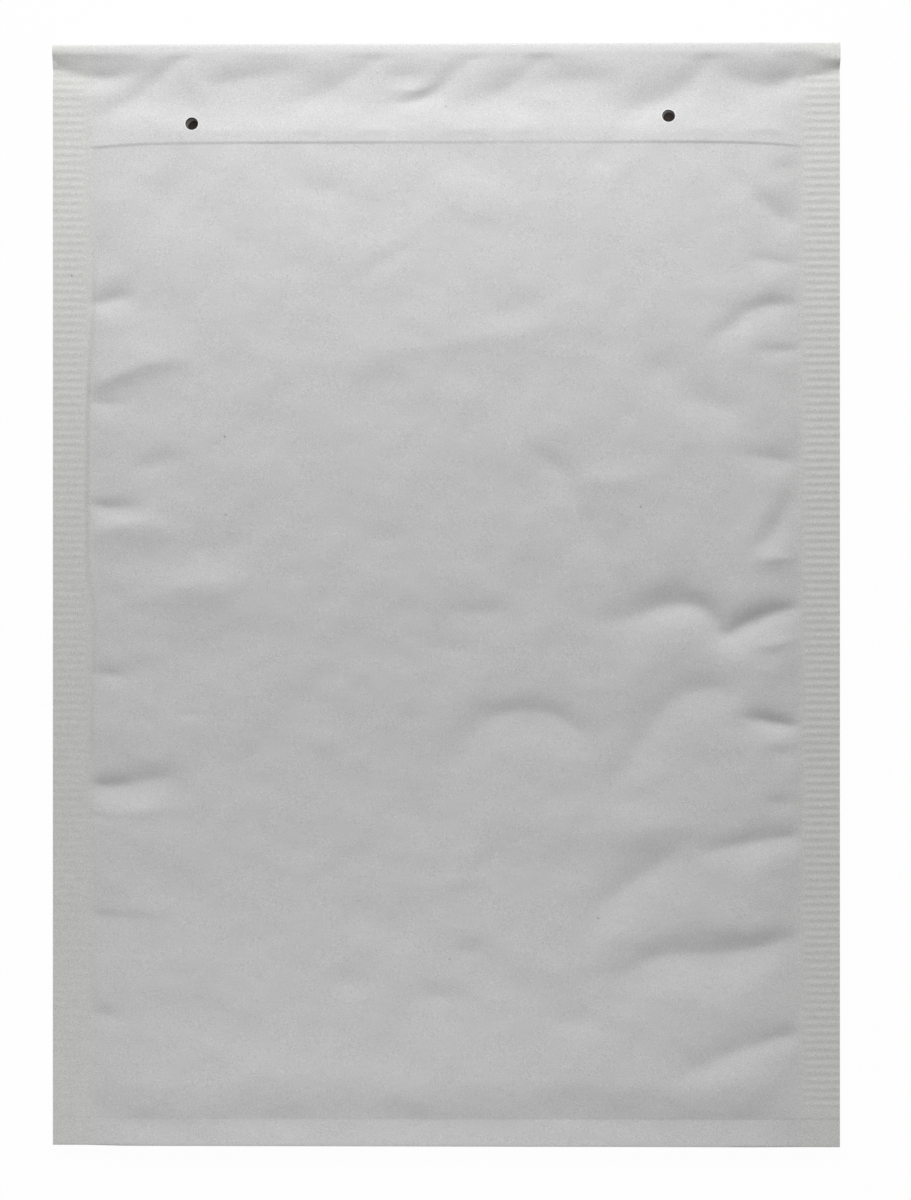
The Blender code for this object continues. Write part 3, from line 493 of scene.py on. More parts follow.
def undulation(x, y):
    """Low random waves all over the front, as in handled paper."""
    random = np.random.default_rng(WAVE_SEED)
    total = np.zeros_like(x)
    for _ in range(WAVE_COUNT):
        length = WAVE_SHORTEST * (WAVE_LONGEST / WAVE_SHORTEST) ** random.random()
        angle = WAVE_HEADING + WAVE_FAN * (random.random() - 0.5)
        phase = random.random() * 2 * math.pi
        along = (x * math.cos(angle) + y * math.sin(angle)) * 2 * math.pi / length
        total += WAVE_SLOPE * length / (2 * math.pi) * np.cos(along + phase)
    return total / math.sqrt(WAVE_COUNT / 2)


def middle_height(x, y):
    """Height of the front between its seams, from the top fold to the bottom fold."""
    drop = HALF_LENGTH - y
    stops = [
        (FOLD_REACH, FOLD_HEIGHT),
        (VALLEY_DROP, BODY_HEIGHT - VALLEY_DEPTH),
        (SHELF_DROP, BODY_HEIGHT - SHELF_DEPTH),
        (BODY_DROP, BODY_HEIGHT - BODY_SAG),
    ]
    height = np.full_like(y, BODY_HEIGHT - BODY_SAG)
    for (high, high_z), (low, low_z) in zip(stops, stops[1:]):
        within = (drop >= high) & (drop <= low)
        height = np.where(within, high_z + (low_z - high_z) * ease((drop - high) / (low - high)), height)
    share = clamp((END_RAMP - y - HALF_LENGTH) / (END_RAMP - BOTTOM_MARGIN))
    fall = MARGIN_FALL * (1 + MARGIN_TILT * x / HALF_WIDTH) * share ** 2 * (3 - share) / 2
    rise = END_RISE * clamp(1 - (y + HALF_LENGTH) / BOTTOM_MARGIN) ** 2
    return height - fall + rise


def liner_step(x, y):
    """Small step down where the film inside begins, with its ends drooping at the seams."""
    line = LINER_TOP_Y + STEP_ARCH - STEP_DROOP * np.abs(x / RIGHT_SEAM) ** DROOP_POWER
    above = ease((y - line) / STEP_WIDTH + 0.5)
    fade = np.exp(-STEP_DECAY * clamp((y - line) / STEP_FADE) ** 2)
    corner = ease((-x / RIGHT_SEAM - STEP_CORNER_START) / (1 - STEP_CORNER_START))
    strength = STEP_LEVEL + STEP_SWELL * np.cos((x - STEP_PEAK) / STEP_SWING) + STEP_CORNER * corner
    return STEP_HEIGHT * strength * above * fade


def edge_height(x, y):
    """Height of the front over a side seal: down from the fold to a dip beside the mouth, then level."""
    drop = HALF_LENGTH - y
    outside = np.minimum(HALF_WIDTH - np.abs(x), LEFT_SEAL)
    start = FOLD_REACH + RIGHT_ROLL * ease((x - HALF_WIDTH) / RIGHT_SEAL + 1)
    dip = np.where(x < 0, LEFT_DIP_DROP, RIGHT_DIP_DROP) + CORNER_SLANT * outside
    high = FOLD_HEIGHT - FOLD_CORNER_SAG
    low = SEAL_TOP - CORNER_DIP
    height = high + (low - high) * clamp((drop - start) / (dip - start))
    return height + CORNER_DIP * ease((drop - dip) / CORNER_REACH)


def front_height(x, y):
    """Outer height of the front panel."""
    x, y = np.broadcast_arrays(x, y)
    inside = np.minimum(x - LEFT_SEAM, RIGHT_SEAM - x)
    edge = edge_height(x, y)
    relief = crease_relief(x, y) + liner_step(x, y) + undulation(x, y)
    relief = relief * ease(inside / SEAM_FADE) * ease((FOLD_Y - y) / FOLD_REACH)
    relief = relief * ease((y + HALF_LENGTH) / BOTTOM_MARGIN)
    height = edge + (middle_height(x, y) - edge) * swell(inside / FRONT_RAMP) + relief
    return np.maximum(height, back_height(x, y) + SEAL_THICKNESS)


def back_height(x, y):
    """Outer height of the back panel: flat on the ground, lifted over the flap and to the seals."""
    x, y = np.broadcast_arrays(x, y)
    lift = STRIP_STACK * ease((y - FLAP_Y + FLAP_RAMP) / FLAP_RAMP)
    lift = lift + MARGIN_LIFT * ease((END_RAMP - y - HALF_LENGTH) / (END_RAMP - BOTTOM_MARGIN))
    inside = np.minimum(x - LEFT_SEAM, RIGHT_SEAM - x)
    edge = edge_height(x, y) - SEAL_THICKNESS
    return edge + (lift - edge) * swell(inside / BACK_RAMP)


def spaced(start, end, step):
    """Places from start to end, evenly spaced by about a step."""
    count = max(1, round(abs(end - start) / step))
    return np.linspace(start, end, count + 1)


class Skin:
    """Points and faces of one closed body."""

    def __init__(self):
        self.blocks = []
        self.count = 0
        self.faces = []

    def grid(self, x, y, z):
        """Numbers of new points in rows and columns."""
        x, y, z = np.broadcast_arrays(x, y, z)
        self.blocks.append(np.stack([x.ravel(), y.ravel(), z.ravel()], axis=1))
        numbers = self.count + np.arange(x.size).reshape(x.shape)
        self.count += x.size
        return numbers

    def surface(self, columns, rows, height, offset=0.0):
        """Numbers of new points over columns and rows, at a height and an offset from it."""
        x, y = np.meshgrid(columns, rows)
        return self.grid(x, y, height(x, y) + offset)

    def face(self, corners):
        """One face."""
        self.faces.append(tuple(int(corner) for corner in corners))

    def sheet(self, numbers):
        """Four-sided faces over a grid of points."""
        corners = (numbers[:-1, :-1], numbers[:-1, 1:], numbers[1:, 1:], numbers[1:, :-1])
        self.faces.extend(map(tuple, np.stack([c.ravel() for c in corners], axis=1).tolist()))

    def strip(self, one, other):
        """Four-sided faces between two chains of as many points."""
        self.sheet(np.array([one, other]))

    def zip_strip(self, one, other, axis):
        """Triangles between two chains that run the same way, paired by their place along an axis."""
        points = np.concatenate(self.blocks)
        one_places = points[np.asarray(one), axis]
        other_places = points[np.asarray(other), axis]
        if one_places[-1] < one_places[0]:
            one_places = -one_places
            other_places = -other_places
        i = 0
        j = 0
        while i < len(one) - 1 or j < len(other) - 1:
            if i == len(one) - 1:
                take_one = False
            elif j == len(other) - 1:
                take_one = True
            else:
                take_one = one_places[i + 1] <= other_places[j + 1]
            if take_one:
                self.face((one[i], one[i + 1], other[j]))
                i += 1
            else:
                self.face((one[i], other[j + 1], other[j]))
                j += 1

    def build(self, name):
        """The object, with its faces pointing out."""
        mesh = bpy.data.meshes.new(name)
        mesh.from_pydata(np.concatenate(self.blocks).tolist(), [], self.faces)
        shape = bmesh.new()
        shape.from_mesh(mesh)
        bmesh.ops.recalc_face_normals(shape, faces=shape.faces)
        shape.to_mesh(mesh)
        shape.free()
        piece = bpy.data.objects.new(name, mesh)
        bpy.context.collection.objects.link(piece)
        return piece


def rib_rows():
    """Rows of the crimped seals from the mouth to the bottom fold."""
    start = MOUTH_Y - RIB_LEAD
    end = RIB_END_MARGIN - HALF_LENGTH
    count = int((start - end) / (RIB_PITCH / RIB_SAMPLES))
    places = start - np.arange(count + 1) * RIB_PITCH / RIB_SAMPLES
    tail = spaced(places[-1], END_Y, 3 * ROW_STEP)[1:]
    return np.concatenate([[MOUTH_Y], places, tail])


def rib_wave(y):
    """Crimp ridges, from -1 to 1, faded in and out at the ends of the seal."""
    start = MOUTH_Y - RIB_LEAD
    wave = np.cos(2 * math.pi * (start - y) / RIB_PITCH)
    fade = ease((start - y) / RIB_LEAD) * ease((y + HALF_LENGTH - RIB_END_MARGIN) / RIB_PITCH)
    return wave * fade


def build_seals(skin, side, ribs, shares):
    """Front and back of one crimped seal, with the first and last share of its ribs' height."""
    columns = side * (HALF_WIDTH - ribs * np.array(RIB_COLUMNS))
    strength = np.array(RIB_COLUMN_SHARES) * RIB_HEIGHT / 2
    rows = rib_rows()
    first, last = shares
    fading = first + (last - first) * clamp((MOUTH_Y - rows) / RIB_FADE)
    wave = (rib_wave(rows) * fading)[:, None] * strength[None, :]
    front = skin.surface(columns, rows, front_height, wave)
    back = skin.surface(columns, rows, back_height, wave)
    skin.sheet(front)
    skin.sheet(back)
    return {"front": front, "back": back, "columns": columns}


def front_rows():
    """Rows of the front from the fold to the bottom, with the mouth's row among them."""
    above = spaced(FOLD_Y, MOUTH_Y, ROW_STEP)
    below = [
        spaced(MOUTH_Y, LINER_TOP_Y + FINE_BAND, ROW_STEP),
        spaced(LINER_TOP_Y + FINE_BAND, LINER_TOP_Y - FINE_BAND, FINE_STEP),
        spaced(LINER_TOP_Y - FINE_BAND, END_Y, ROW_STEP),
    ]
    return np.concatenate([above] + [part[1:] for part in below]), len(above) - 1


def build_front(skin, left, right):
    """Outside of the front: the whole width above the mouth, and the panel between the seals below it."""
    rows, mouth = front_rows()
    columns = spaced(LEFT_SEAM, RIGHT_SEAM, COLUMN_STEP)
    panel = skin.surface(columns, rows, front_height)
    skin.sheet(panel)
    above = {}
    for name, seal, seam in (("left", left, 0), ("right", right, -1)):
        wing = skin.surface(seal["columns"], rows[:mouth], front_height)
        wing = np.concatenate([wing, seal["front"][:1]])
        skin.sheet(wing)
        skin.strip(wing[:, -1], panel[:mouth + 1, seam])
        skin.zip_strip(seal["front"][:, -1], panel[mouth:, seam], 1)
        above[name] = wing
    return rows, mouth, columns, panel, above


def inside_rows():
    """Coarse rows of the sheet's inner face, from the fold to the bottom."""
    above = np.array([FOLD_Y, MOUTH_Y])
    corner = spaced(MOUTH_Y, MOUTH_Y - 2 * CORNER_REACH, ROW_STEP)
    middle = spaced(corner[-1], LINER_TOP_Y, BACK_STEP)
    lower = spaced(LINER_TOP_Y, END_Y, 2 * BACK_STEP)
    return np.concatenate([above, corner[1:], middle[1:], lower[1:]])


def build_inside(skin, rows, columns, left, right):
    """Inner face of the front, a sheet's thickness under the lowest place near each of its points."""
    coarse = inside_rows()
    x, y = np.meshgrid(columns, rows)
    heights = front_height(x, y)
    z = np.empty((len(coarse), len(columns)))
    for number in range(len(coarse)):
        above = coarse[max(number - 1, 0)]
        below = coarse[min(number + 1, len(coarse) - 1)]
        near = (rows <= above + ROW_STEP) & (rows >= below - ROW_STEP)
        z[number] = heights[near].min(axis=0) - PAPER
    z[1:, 0] = edge_height(LEFT_SEAM, coarse[1:]) - SEAL_THICKNESS / 2
    z[1:, -1] = edge_height(RIGHT_SEAM, coarse[1:]) - SEAL_THICKNESS / 2
    z[-1] = (front_height(columns, END_Y) + back_height(columns, END_Y)) / 2
    ceiling = skin.grid(columns[None, :], coarse[:, None], z)
    skin.sheet(ceiling)
    under = {}
    for name, seal, seam in (("left", left, 0), ("right", right, -1)):
        wing = skin.surface(seal["columns"], coarse[:2], front_height, -PAPER)
        skin.sheet(wing)
        skin.strip(wing[:, -1], ceiling[:2, seam])
        under[name] = wing
    return (coarse, columns, z), ceiling, under


def build_back(skin, coarse, ceiling, left, right):
    """Outside and inside of the back panel, and the edge of its mouth."""
    columns = spaced(LEFT_SEAM, RIGHT_SEAM, BACK_STEP)
    rows = spaced(MOUTH_Y, END_Y, BACK_STEP)
    outer = skin.surface(columns, rows, back_height)
    skin.sheet(outer)
    inner = skin.surface(columns[1:-1], coarse[1:-1], back_height, PAPER)
    inner = np.concatenate([ceiling[1:-1, :1], inner, ceiling[1:-1, -1:]], axis=1)
    skin.sheet(inner)
    skin.zip_strip(inner[-1], ceiling[-1], 0)
    skin.strip(outer[0], inner[0])
    for seal, seam in ((left, 0), (right, -1)):
        skin.zip_strip(seal["back"][:, -1], outer[:, seam], 1)
    return columns, outer


def fold_profile(angles):
    """Shares out and up of a fold's half circle, squared off as in pressed paper."""
    out = clamp(np.sin(angles)) ** (2 / FOLD_POWER)
    up = np.sign(np.cos(angles)) * np.abs(np.cos(angles)) ** (2 / FOLD_POWER)
    return out, up


def build_flap(skin, columns, inset):
    """Rows round the top fold and down the flap, on one side of the sheet."""
    radius = front_height(columns, FOLD_Y) / 2
    angles = np.linspace(0, math.pi, FOLD_SEGMENTS + 1)[1:, None]
    out, up = fold_profile(angles)
    y = FOLD_Y + (FOLD_REACH - inset) * out
    z = radius + (radius - inset - FOLD_TILT * out) * up
    ring = skin.grid(columns[None, :], y, z)
    rows = spaced(FOLD_Y, FLAP_Y, 2 * BACK_STEP)[1:]
    flat = skin.grid(columns[None, :], rows[:, None], inset)
    both = np.concatenate([ring, flat])
    skin.sheet(both)
    return both


def build_paper():
    """The folded and sealed sheet as one closed body."""
    skin = Skin()
    left = build_seals(skin, -1, LEFT_RIBS, LEFT_RIB_SHARES)
    right = build_seals(skin, 1, RIGHT_RIBS, RIGHT_RIB_SHARES)
    rows, mouth, columns, panel, above = build_front(skin, left, right)
    space, ceiling, under = build_inside(skin, rows, columns, left, right)
    back_columns, back = build_back(skin, space[0], ceiling, left, right)

    wide = np.concatenate([left["columns"], back_columns, right["columns"][::-1]])
    outer = build_flap(skin, wide, 0.0)
    inner = build_flap(skin, wide, PAPER)
    front_top = np.concatenate([above["left"][0], panel[0], above["right"][0][::-1]])
    under_top = np.concatenate([under["left"][0], ceiling[0], under["right"][0][::-1]])
    skin.zip_strip(front_top, outer[0], 0)
    skin.zip_strip(under_top, inner[0], 0)
    skin.strip(outer[-1], inner[-1])

    front_end = np.concatenate([left["front"][-1], panel[-1], right["front"][-1][::-1]])
    back_end = np.concatenate([left["back"][-1], back[-1], right["back"][-1][::-1]])
    angles = np.linspace(0, math.pi, END_SEGMENTS + 1)[1:-1, None]
    high = front_height(wide, END_Y)
    low = back_height(wide, END_Y)
    out, up = fold_profile(angles)
    ring = skin.grid(wide[None, :], END_Y - BOTTOM_REACH * out, (high + low) / 2 + (high - low) / 2 * up)
    bottom = np.concatenate([ring, back_end[None, :]])
    skin.zip_strip(front_end, bottom[0], 0)
    skin.sheet(bottom)

    for name, seal, end in (("left", left, 0), ("right", right, -1)):
        front_edge = seal["front"][:, 0]
        back_edge = seal["back"][:, 0]
        lip = under[name][1]
        corner = [back[0, end]] + [ceiling[1, end]] + list(lip[::-1]) + list(seal["back"][0])
        skin.face(corner)
        skin.face((lip[0], front_edge[0], front_edge[1]))
        skin.face((lip[0], front_edge[1], back_edge[1]))
        skin.face((lip[0], back_edge[1], back_edge[0]))
        skin.strip(front_edge[1:], back_edge[1:])
        skin.face([front_edge[-1]] + list(bottom[:, end]))
        skin.zip_strip(above[name][:, 0], under[name][:, 0], 1)
        skin.strip(
            np.concatenate([[above[name][0, 0]], outer[:, end]]),
            np.concatenate([[under[name][0, 0]], inner[:, end]]),
        )
    return skin.build("creased_paper"), space


def punch_holes(paper):
    """Round holes through front, back and flap, with the layers a little out of line."""
    mesh = bpy.data.meshes.new("punches")
    shape = bmesh.new()
    for x, drop in HOLES:
        for top, bottom, shift_x, shift_y in PUNCHES:
            high = top * BODY_HEIGHT
            low = bottom * BODY_HEIGHT
            made = bmesh.ops.create_cone(
                shape,
                cap_ends=True,
                segments=HOLE_SEGMENTS,
                radius1=HOLE_RADIUS,
                radius2=HOLE_RADIUS,
                depth=high - low,
            )
            place = Vector((x + shift_x, HALF_LENGTH - drop + shift_y, (high + low) / 2))
            bmesh.ops.translate(shape, verts=made["verts"], vec=place)
    shape.to_mesh(mesh)
    shape.free()
    cutter = bpy.data.objects.new("punches", mesh)
    bpy.context.collection.objects.link(cutter)
    cut = paper.modifiers.new("holes", "BOOLEAN")
    cut.operation = "DIFFERENCE"
    cut.object = cutter
    graph = bpy.context.evaluated_depsgraph_get()
    punched = bpy.data.meshes.new_from_object(paper.evaluated_get(graph))
    paper.modifiers.clear()
    paper.data = punched
    bpy.data.objects.remove(cutter, do_unlink=True)
    punched.shade_smooth()
    punched.set_sharp_from_angle(angle=math.radians(PAPER_SHARP))


def space_inside(ceiling, x, y):
    """Top and bottom of the space between the panels, clear of the paper, at a grid of places."""
    rows, columns, heights = ceiling
    across = np.array([np.interp(x[0], columns, row) for row in heights])
    top = np.array([np.interp(-y[:, 0], -rows, across[:, number]) for number in range(x.shape[1])]).T
    return top - SEAT_GAP, back_height(x, y) + PAPER + SEAT_GAP


def dome_relief(x, y):
    """Bubbles of the film, from 0 between them to 1 at their tops, in rows set off by half a pitch."""
    row_pitch = BUBBLE_PITCH * math.sqrt(3) / 2
    row = np.round(y / row_pitch)
    shift = np.where(row % 2 == 0, 0.0, 0.5) * BUBBLE_PITCH
    across = (x - shift + BUBBLE_PITCH / 2) % BUBBLE_PITCH - BUBBLE_PITCH / 2
    radius = np.hypot(across, y - row * row_pitch)
    return np.sqrt(clamp(1 - (radius / BUBBLE_RADIUS) ** 2))


def build_film(ceiling):
    """Bubble film folded at the bottom: smooth against the paper, with its bubbles facing the pocket."""
    skin = Skin()
    fold_y = LINER_END_Y + LINER_FOLD
    inside = (ceiling[1] > LINER_LOW[0]) & (ceiling[1] < LINER_HIGH[0])
    columns = np.concatenate([[LINER_LOW[0]], ceiling[1][inside], [LINER_HIGH[0]]])
    coarse = ceiling[0][(ceiling[0] < LINER_TOP_Y - MM) & (ceiling[0] > fold_y + MM)]
    coarse = np.concatenate([[LINER_TOP_Y], coarse, [fold_y]])
    fine = spaced(LINER_TOP_Y, fold_y, BUBBLE_STEP)
    angles = np.linspace(0, math.pi, 2 * END_SEGMENTS + 1)[1:-1, None]

    x, y = np.meshgrid(columns, coarse)
    top, bottom = space_inside(ceiling, x, y)
    middle = (top[-1] + bottom[-1]) / 2
    radius = (top[-1] - bottom[-1]) / 2
    front = skin.grid(x, y, top)
    turn = skin.grid(columns[None, :], fold_y - LINER_FOLD * np.sin(angles), middle + radius * np.cos(angles))
    back = skin.grid(x[::-1], y[::-1], bottom[::-1])
    outer = np.concatenate([front, turn, back])
    skin.sheet(outer)

    x, y = np.meshgrid(columns, fine)
    top, bottom = space_inside(ceiling, x, y)
    fade = ease((y - fold_y) / BUBBLE_PITCH) * ease((LINER_HIGH[0] - np.abs(x)) / BUBBLE_RADIUS)
    room = np.maximum((top - bottom - POCKET_GAP) / 2 - FILM, 0.0)
    ply = FILM + dome_relief(x, y) * fade * room
    front = skin.grid(x, y, top - ply)
    turn = skin.grid(
        columns[None, :],
        fold_y - (LINER_FOLD - FILM) * np.sin(angles),
        middle + (radius - FILM) * np.cos(angles),
    )
    back = skin.grid(x[::-1], y[::-1], (bottom + ply)[::-1])
    inner = np.concatenate([front, turn, back])
    skin.sheet(inner)
    skin.strip(outer[0], inner[0])
    skin.strip(outer[-1], inner[-1])
    turns = len(angles)
    for end in (0, -1):
        skin.zip_strip(outer[:len(coarse), end], inner[:len(fine), end], 1)
        skin.strip(
            outer[len(coarse) - 1:len(coarse) + turns + 1, end],
            inner[len(fine) - 1:len(fine) + turns + 1, end],
        )
        skin.zip_strip(outer[len(coarse) + turns:, end], inner[len(fine) + turns:, end], 1)
    film = skin.build("bubble_film")
    film.data.shade_smooth()
    film.data.set_sharp_from_angle(angle=math.radians(FILM_SHARP))
    return film


def new_material(name):
    """A material with its nodes ready, its node tree and its shader."""
    material = bpy.data.materials.new(name)
    material.use_nodes = True
    tree = material.node_tree
    return material, tree, tree.nodes["Principled BSDF"]


def add_node(tree, kind, **values):
    """A node with some of its sockets or settings set."""
    node = tree.nodes.new(kind)
    for key, value in values.items():
        if key in node.inputs:
            node.inputs[key].default_value = value
        else:
            setattr(node, key, value)
    return node


def reckoned(tree, operation, *values):
    """Result of an operation on sockets and numbers."""
    node = add_node(tree, "ShaderNodeMath", operation=operation)
    for socket, value in zip(node.inputs, values):
        if isinstance(value, (int, float)):
            socket.default_value = value
        else:
            tree.links.new(value, socket)
    return node.outputs[0]


def product(tree, *factors):
    """Product of sockets and numbers."""
    total = factors[0]
    for factor in factors[1:]:
        total = reckoned(tree, "MULTIPLY", total, factor)
    return total


def mapped(tree, value, source, target=(0.0, 1.0), kind="LINEAR"):
    """A value moved from one range to another, and held inside it unless the node's clamp is put off."""
    node = add_node(tree, "ShaderNodeMapRange", interpolation_type=kind)
    for name, number in zip(("From Min", "From Max", "To Min", "To Max"), (*source, *target)):
        node.inputs[name].default_value = number
    tree.links.new(value, node.inputs["Value"])
    return node.outputs["Result"]


def curved(tree, value, stops):
    """A value sent through a curve of places and values from 0 to 1, level beyond them."""
    node = add_node(tree, "ShaderNodeFloatCurve")
    curve = node.mapping.curves[0]
    curve.points[0].location = (0.0, stops[0][1])
    curve.points[1].location = (1.0, stops[-1][1])
    for stop in stops:
        curve.points.new(*stop)
    for point in curve.points:
        point.handle_type = "AUTO_CLAMPED"
    node.mapping.update()
    tree.links.new(value, node.inputs["Value"])
    return node.outputs["Value"]


def mixed_color(tree, share, low, high):
    """A colour between two others, by a share."""
    mix = add_node(tree, "ShaderNodeMix", data_type="RGBA")
    mix.inputs[6].default_value = low
    mix.inputs[7].default_value = high
    tree.links.new(share, mix.inputs[0])
    return mix.outputs[2]


def object_axes(tree):
    """X, Y and Z of the place on the object."""
    place = add_node(tree, "ShaderNodeTexCoord")
    split = add_node(tree, "ShaderNodeSeparateXYZ")
    tree.links.new(place.outputs["Object"], split.inputs[0])
    return split.outputs


def distances(tree, places):
    """Distance along the sheet from each place, which is right of the middle and below the top fold."""
    place = add_node(tree, "ShaderNodeTexCoord")
    flat = add_node(tree, "ShaderNodeVectorMath", operation="MULTIPLY")
    flat.inputs[1].default_value = (1, 1, 0)
    tree.links.new(place.outputs["Object"], flat.inputs[0])
    found = []
    for x, drop in places:
        apart = add_node(tree, "ShaderNodeVectorMath", operation="DISTANCE")
        apart.inputs[1].default_value = (x, HALF_LENGTH - drop, 0)
        tree.links.new(flat.outputs["Vector"], apart.inputs[0])
        found.append(apart.outputs["Value"])
    return found


def scaled_noise(tree, scale, detail, spread, stretch=(1, 1, 1)):
    """Noise in object space as a factor around 1, at so many features per metre."""
    place = add_node(tree, "ShaderNodeTexCoord")
    mapping = add_node(tree, "ShaderNodeMapping", Scale=stretch)
    texture = add_node(tree, "ShaderNodeTexNoise", Scale=scale, Detail=detail, Roughness=NOISE_ROUGHNESS)
    tree.links.new(place.outputs["Object"], mapping.inputs["Vector"])
    tree.links.new(mapping.outputs["Vector"], texture.inputs["Vector"])
    factor = mapped(tree, texture.outputs[0], NOISE_RANGE, (1 - spread, 1 + spread))
    factor.node.clamp = False
    return factor


def seal_share(tree):
    """0 in the middle of the mailer and 1 over its side seals."""
    aside = reckoned(tree, "ABSOLUTE", object_axes(tree)["X"])
    edges = [HALF_WIDTH - width * RIGHT_SEAL for width in SEAL_BLEND]
    return mapped(tree, aside, edges, kind="SMOOTHSTEP")


def spot_factor(tree, places, radii, tone):
    """Factor that is a tone on round spots and 1 outside, from their places and inner and outer radii."""
    factors = []
    for apart, reach in zip(distances(tree, places), radii):
        factors.append(mapped(tree, apart, reach, (tone, 1.0), "SMOOTHSTEP"))
    return product(tree, *factors)


def line_factor(tree, apart, width, tone):
    """Factor that is below 1 near a line, by a tone, from the distance to the line."""
    near = mapped(tree, reckoned(tree, "ABSOLUTE", apart), (0.0, width), (1.0, 0.0), "SMOOTHSTEP")
    return reckoned(tree, "SUBTRACT", 1.0, product(tree, near, tone))


def seam_shade_factor(tree):
    """Factor that is below 1 on the painted shade that wanders along the crease beside the left seal."""
    routes = []
    tones = []
    for drop, inset, tone in SEAM_SHADE:
        share = drop * MM / (2 * HALF_LENGTH)
        routes.append((share, 0.5 + inset * MM / SEAM_SHADE_RANGE))
        tones.append((share, tone * SEAM_SHADE_TONE))
    x, y, _ = object_axes(tree)
    down = mapped(tree, y, (HALF_LENGTH, -HALF_LENGTH))
    reach = SEAM_SHADE_RANGE / 2
    line = mapped(tree, curved(tree, down, routes), (0.0, 1.0), (LEFT_SEAM - reach, LEFT_SEAM + reach))
    apart = reckoned(tree, "SUBTRACT", x, line)
    return line_factor(tree, apart, SEAM_SHADE_WIDTH, curved(tree, down, tones))


def end_shade_factor(tree):
    """Factor that is below 1 on the painted shade in the thin crease where the bottom margin begins."""
    x, y, _ = object_axes(tree)
    tone = mapped(tree, x, (-HALF_WIDTH, HALF_WIDTH), END_SHADE_TONES)
    apart = reckoned(tree, "SUBTRACT", y, BOTTOM_MARGIN - HALF_LENGTH)
    return line_factor(tree, apart, END_SHADE_WIDTH, tone)


def paper_material():
    """Uncoated white kraft paper: a faint cloudiness, fine fibres, warmer seals and a few specks, with a
    painted highlight round the holes and painted shade beside the left seal and at the bottom margin's
    crease.
    """
    material, tree, shader = new_material("white_kraft_paper")
    shader.inputs["Roughness"].default_value = PAPER_ROUGHNESS
    shader.inputs["Specular IOR Level"].default_value = PAPER_SHINE
    clouds = scaled_noise(tree, *CLOUDS)
    fibres = scaled_noise(tree, *FIBRES)
    grain = scaled_noise(tree, *GRAIN)
    # Painted highlight: a lighter ring round each hole's rim
    rim_highlights = [(HOLE_RADIUS + HOLE_HIGHLIGHT_WIDTH / 2, HOLE_RADIUS + HOLE_HIGHLIGHT_WIDTH) for _ in HOLES]
    speck_places = [(across * MM, drop * MM) for across, drop, _ in SPECKS]
    speck_radii = [(radius * MM / 2, radius * MM) for _, _, radius in SPECKS]
    # Real specks, times the painted highlight round the holes and the painted shade beside the left seal and
    # at the bottom margin
    specks_and_painted_light = product(
        tree,
        spot_factor(tree, speck_places, speck_radii, SPECK_TONE),
        spot_factor(tree, HOLES, rim_highlights, RIM_HIGHLIGHT_TONE),
        seam_shade_factor(tree),
        end_shade_factor(tree),
    )
    tone = product(tree, product(tree, clouds, fibres), product(tree, grain, specks_and_painted_light))
    color = add_node(tree, "ShaderNodeVectorMath", operation="SCALE")
    tree.links.new(mixed_color(tree, seal_share(tree), PAPER_COLOR, SEAL_COLOR), color.inputs[0])
    tree.links.new(tone, color.inputs["Scale"])
    tree.links.new(color.outputs["Vector"], shader.inputs["Base Color"])
    bump = add_node(tree, "ShaderNodeBump", Strength=BUMP_STRENGTH, Distance=BUMP_DISTANCE)
    tree.links.new(scaled_noise(tree, *BUMPS), bump.inputs["Height"])
    tree.links.new(bump.outputs["Normal"], shader.inputs["Normal"])
    return material


def smooth_material(name):
    """A smooth finish whose colour and gloss vary a little."""
    color, roughness, scale, spread = FINISHES[name]
    material, tree, shader = new_material(name)
    tone = scaled_noise(tree, scale, FINISH_DETAIL, spread)
    shade = add_node(tree, "ShaderNodeVectorMath", operation="SCALE")
    shade.inputs[0].default_value = color
    tree.links.new(tone, shade.inputs["Scale"])
    tree.links.new(shade.outputs["Vector"], shader.inputs["Base Color"])
    tree.links.new(product(tree, tone, roughness), shader.inputs["Roughness"])
    return material


def add_lamp(name, place, target, sides, power, spread):
    """A soft lamp of two sides that faces a target, with its light kept within a spread in degrees."""
    data = bpy.data.lights.new(name, "AREA")
    data.shape = "RECTANGLE"
    data.size, data.size_y = sides
    data.energy = power
    data.spread = math.radians(spread)
    lamp = bpy.data.objects.new(name, data)
    lamp.location = place
    lamp.rotation_euler = (Vector(target) - Vector(place)).to_track_quat("-Z", "Y").to_euler()
    bpy.context.collection.objects.link(lamp)


def add_camera():
    """A long lens almost straight above the mailer."""
    tilt = math.radians(CAMERA_TILT)
    data = bpy.data.cameras.new("camera")
    data.sensor_width = SENSOR_WIDTH
    data.lens = SENSOR_WIDTH * CAMERA_DISTANCE / (PHOTO_ROWS * PIXEL)
    data.clip_end = CAMERA_RANGE
    camera = bpy.data.objects.new("camera", data)
    aim = Vector((CAMERA_AIM[0] * PIXEL, CAMERA_AIM[1] * PIXEL, MIDDLE))
    camera.location = aim + CAMERA_DISTANCE * Vector((math.sin(tilt), 0, math.cos(tilt)))
    camera.rotation_euler = (0, tilt, 0)
    bpy.context.collection.objects.link(camera)
    bpy.context.scene.camera = camera


def seen_share(tree):
    """1 for the rays that show the backdrop, which come from the camera, off gloss or through glass."""
    path = add_node(tree, "ShaderNodeLightPath")
    total = path.outputs["Is Camera Ray"]
    for name in ("Is Glossy Ray", "Is Transmission Ray"):
        total = reckoned(tree, "MAXIMUM", total, path.outputs[name])
    return total


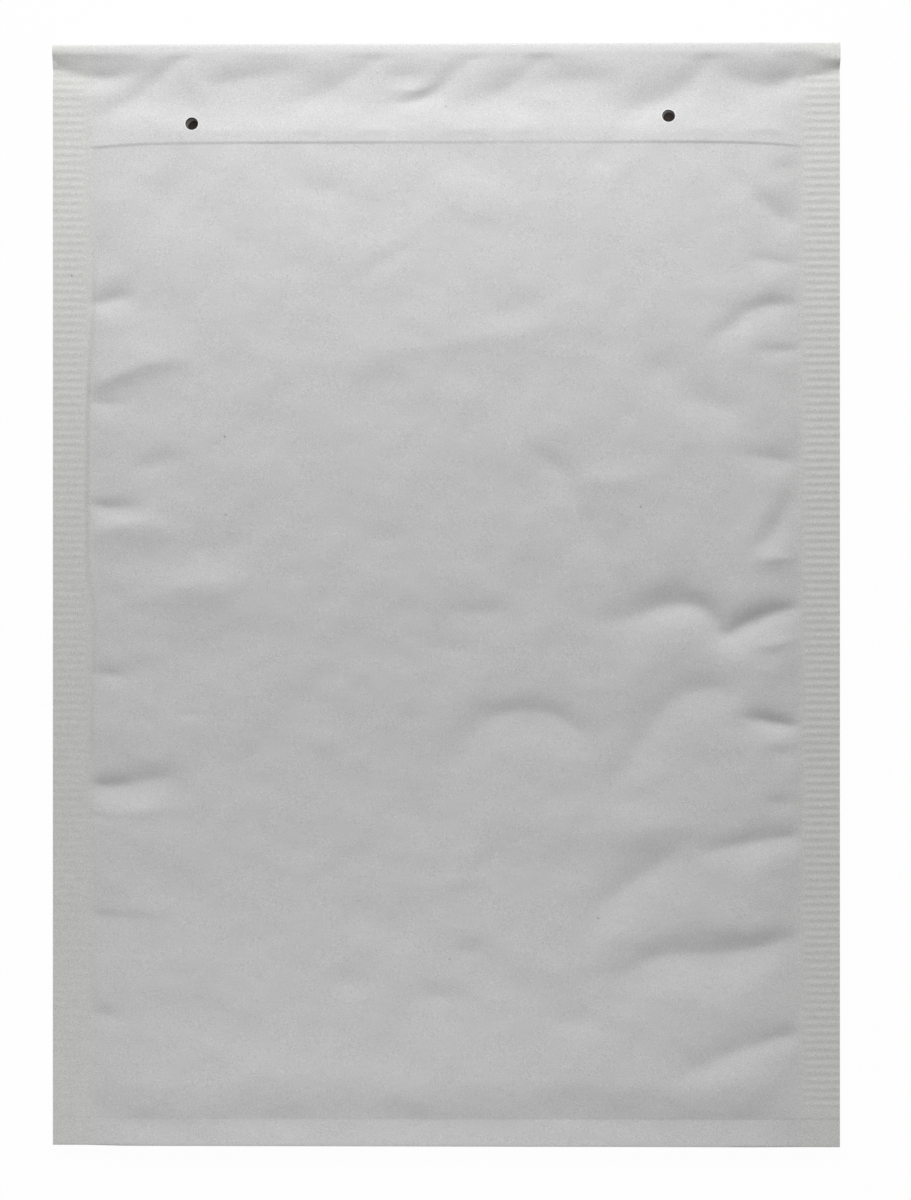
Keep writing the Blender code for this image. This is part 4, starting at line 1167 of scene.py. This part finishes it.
def add_floor():
    """A pale floor that shows white to the camera and keeps the mailer's shadow, with painted shade under the
    holes.
    """
    corners = [(FLOOR_REACH * x, FLOOR_REACH * y, 0) for x, y in ((-1, -1), (1, -1), (1, 1), (-1, 1))]
    mesh = bpy.data.meshes.new("floor")
    mesh.from_pydata(corners, [], [(0, 1, 2, 3)])
    floor = bpy.data.objects.new("floor", mesh)
    floor.location = (0, 0, -FLOOR_DROP)
    bpy.context.collection.objects.link(floor)
    material, tree, shader = new_material("floor_white")
    shader.inputs["Roughness"].default_value = FLOOR_ROUGHNESS
    # Painted shade: under each hole the floor turns dark and loses its white glow
    clear = [reckoned(tree, "GREATER_THAN", apart, HOLE_SHADE_REACH) for apart in distances(tree, HOLES)]
    tone = product(tree, *clear)
    tree.links.new(mixed_color(tree, tone, HOLE_SHADE_COLOR, FLOOR_COLOR), shader.inputs["Base Color"])
    glow = add_node(tree, "ShaderNodeEmission", Strength=1.0)
    mix = add_node(tree, "ShaderNodeMixShader")
    tree.links.new(product(tree, tone, seen_share(tree), FLOOR_GLOW), mix.inputs[0])
    tree.links.new(shader.outputs[0], mix.inputs[1])
    tree.links.new(glow.outputs[0], mix.inputs[2])
    tree.links.new(mix.outputs[0], tree.nodes["Material Output"].inputs["Surface"])
    mesh.materials.append(material)


def add_world():
    """Even light from all round, and a white backdrop for the camera."""
    world = bpy.data.worlds.new("studio")
    bpy.context.scene.world = world
    world.use_nodes = True
    tree = world.node_tree
    backdrop = tree.nodes["Background"]
    backdrop.inputs["Color"].default_value = (1, 1, 1, 1)
    strength = mapped(tree, seen_share(tree), (0.0, 1.0), (WORLD_LIGHT, 1.0))
    tree.links.new(strength, backdrop.inputs["Strength"])


def main():
    """The pieces, their finishes and the studio."""
    bpy.context.scene.view_settings.view_transform = "Standard"
    add_camera()
    add_floor()
    add_world()
    for lamp in LAMPS:
        add_lamp(*lamp)

    paper, space = build_paper()
    punch_holes(paper)
    paper.data.materials.clear()
    paper.data.materials.append(paper_material())
    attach(paper, "root")
    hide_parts("paper_envelope")

    film = build_film(space)
    film.data.materials.append(smooth_material("bubble_film"))
    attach(film, "root")
    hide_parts("bubble_liner")

    for node, slot in (("adhesive_strip", "adhesive"), ("release_strip", "release_paper")):
        material = smooth_material(slot)
        for piece_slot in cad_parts[node].material_slots:
            piece_slot.material = material


main()
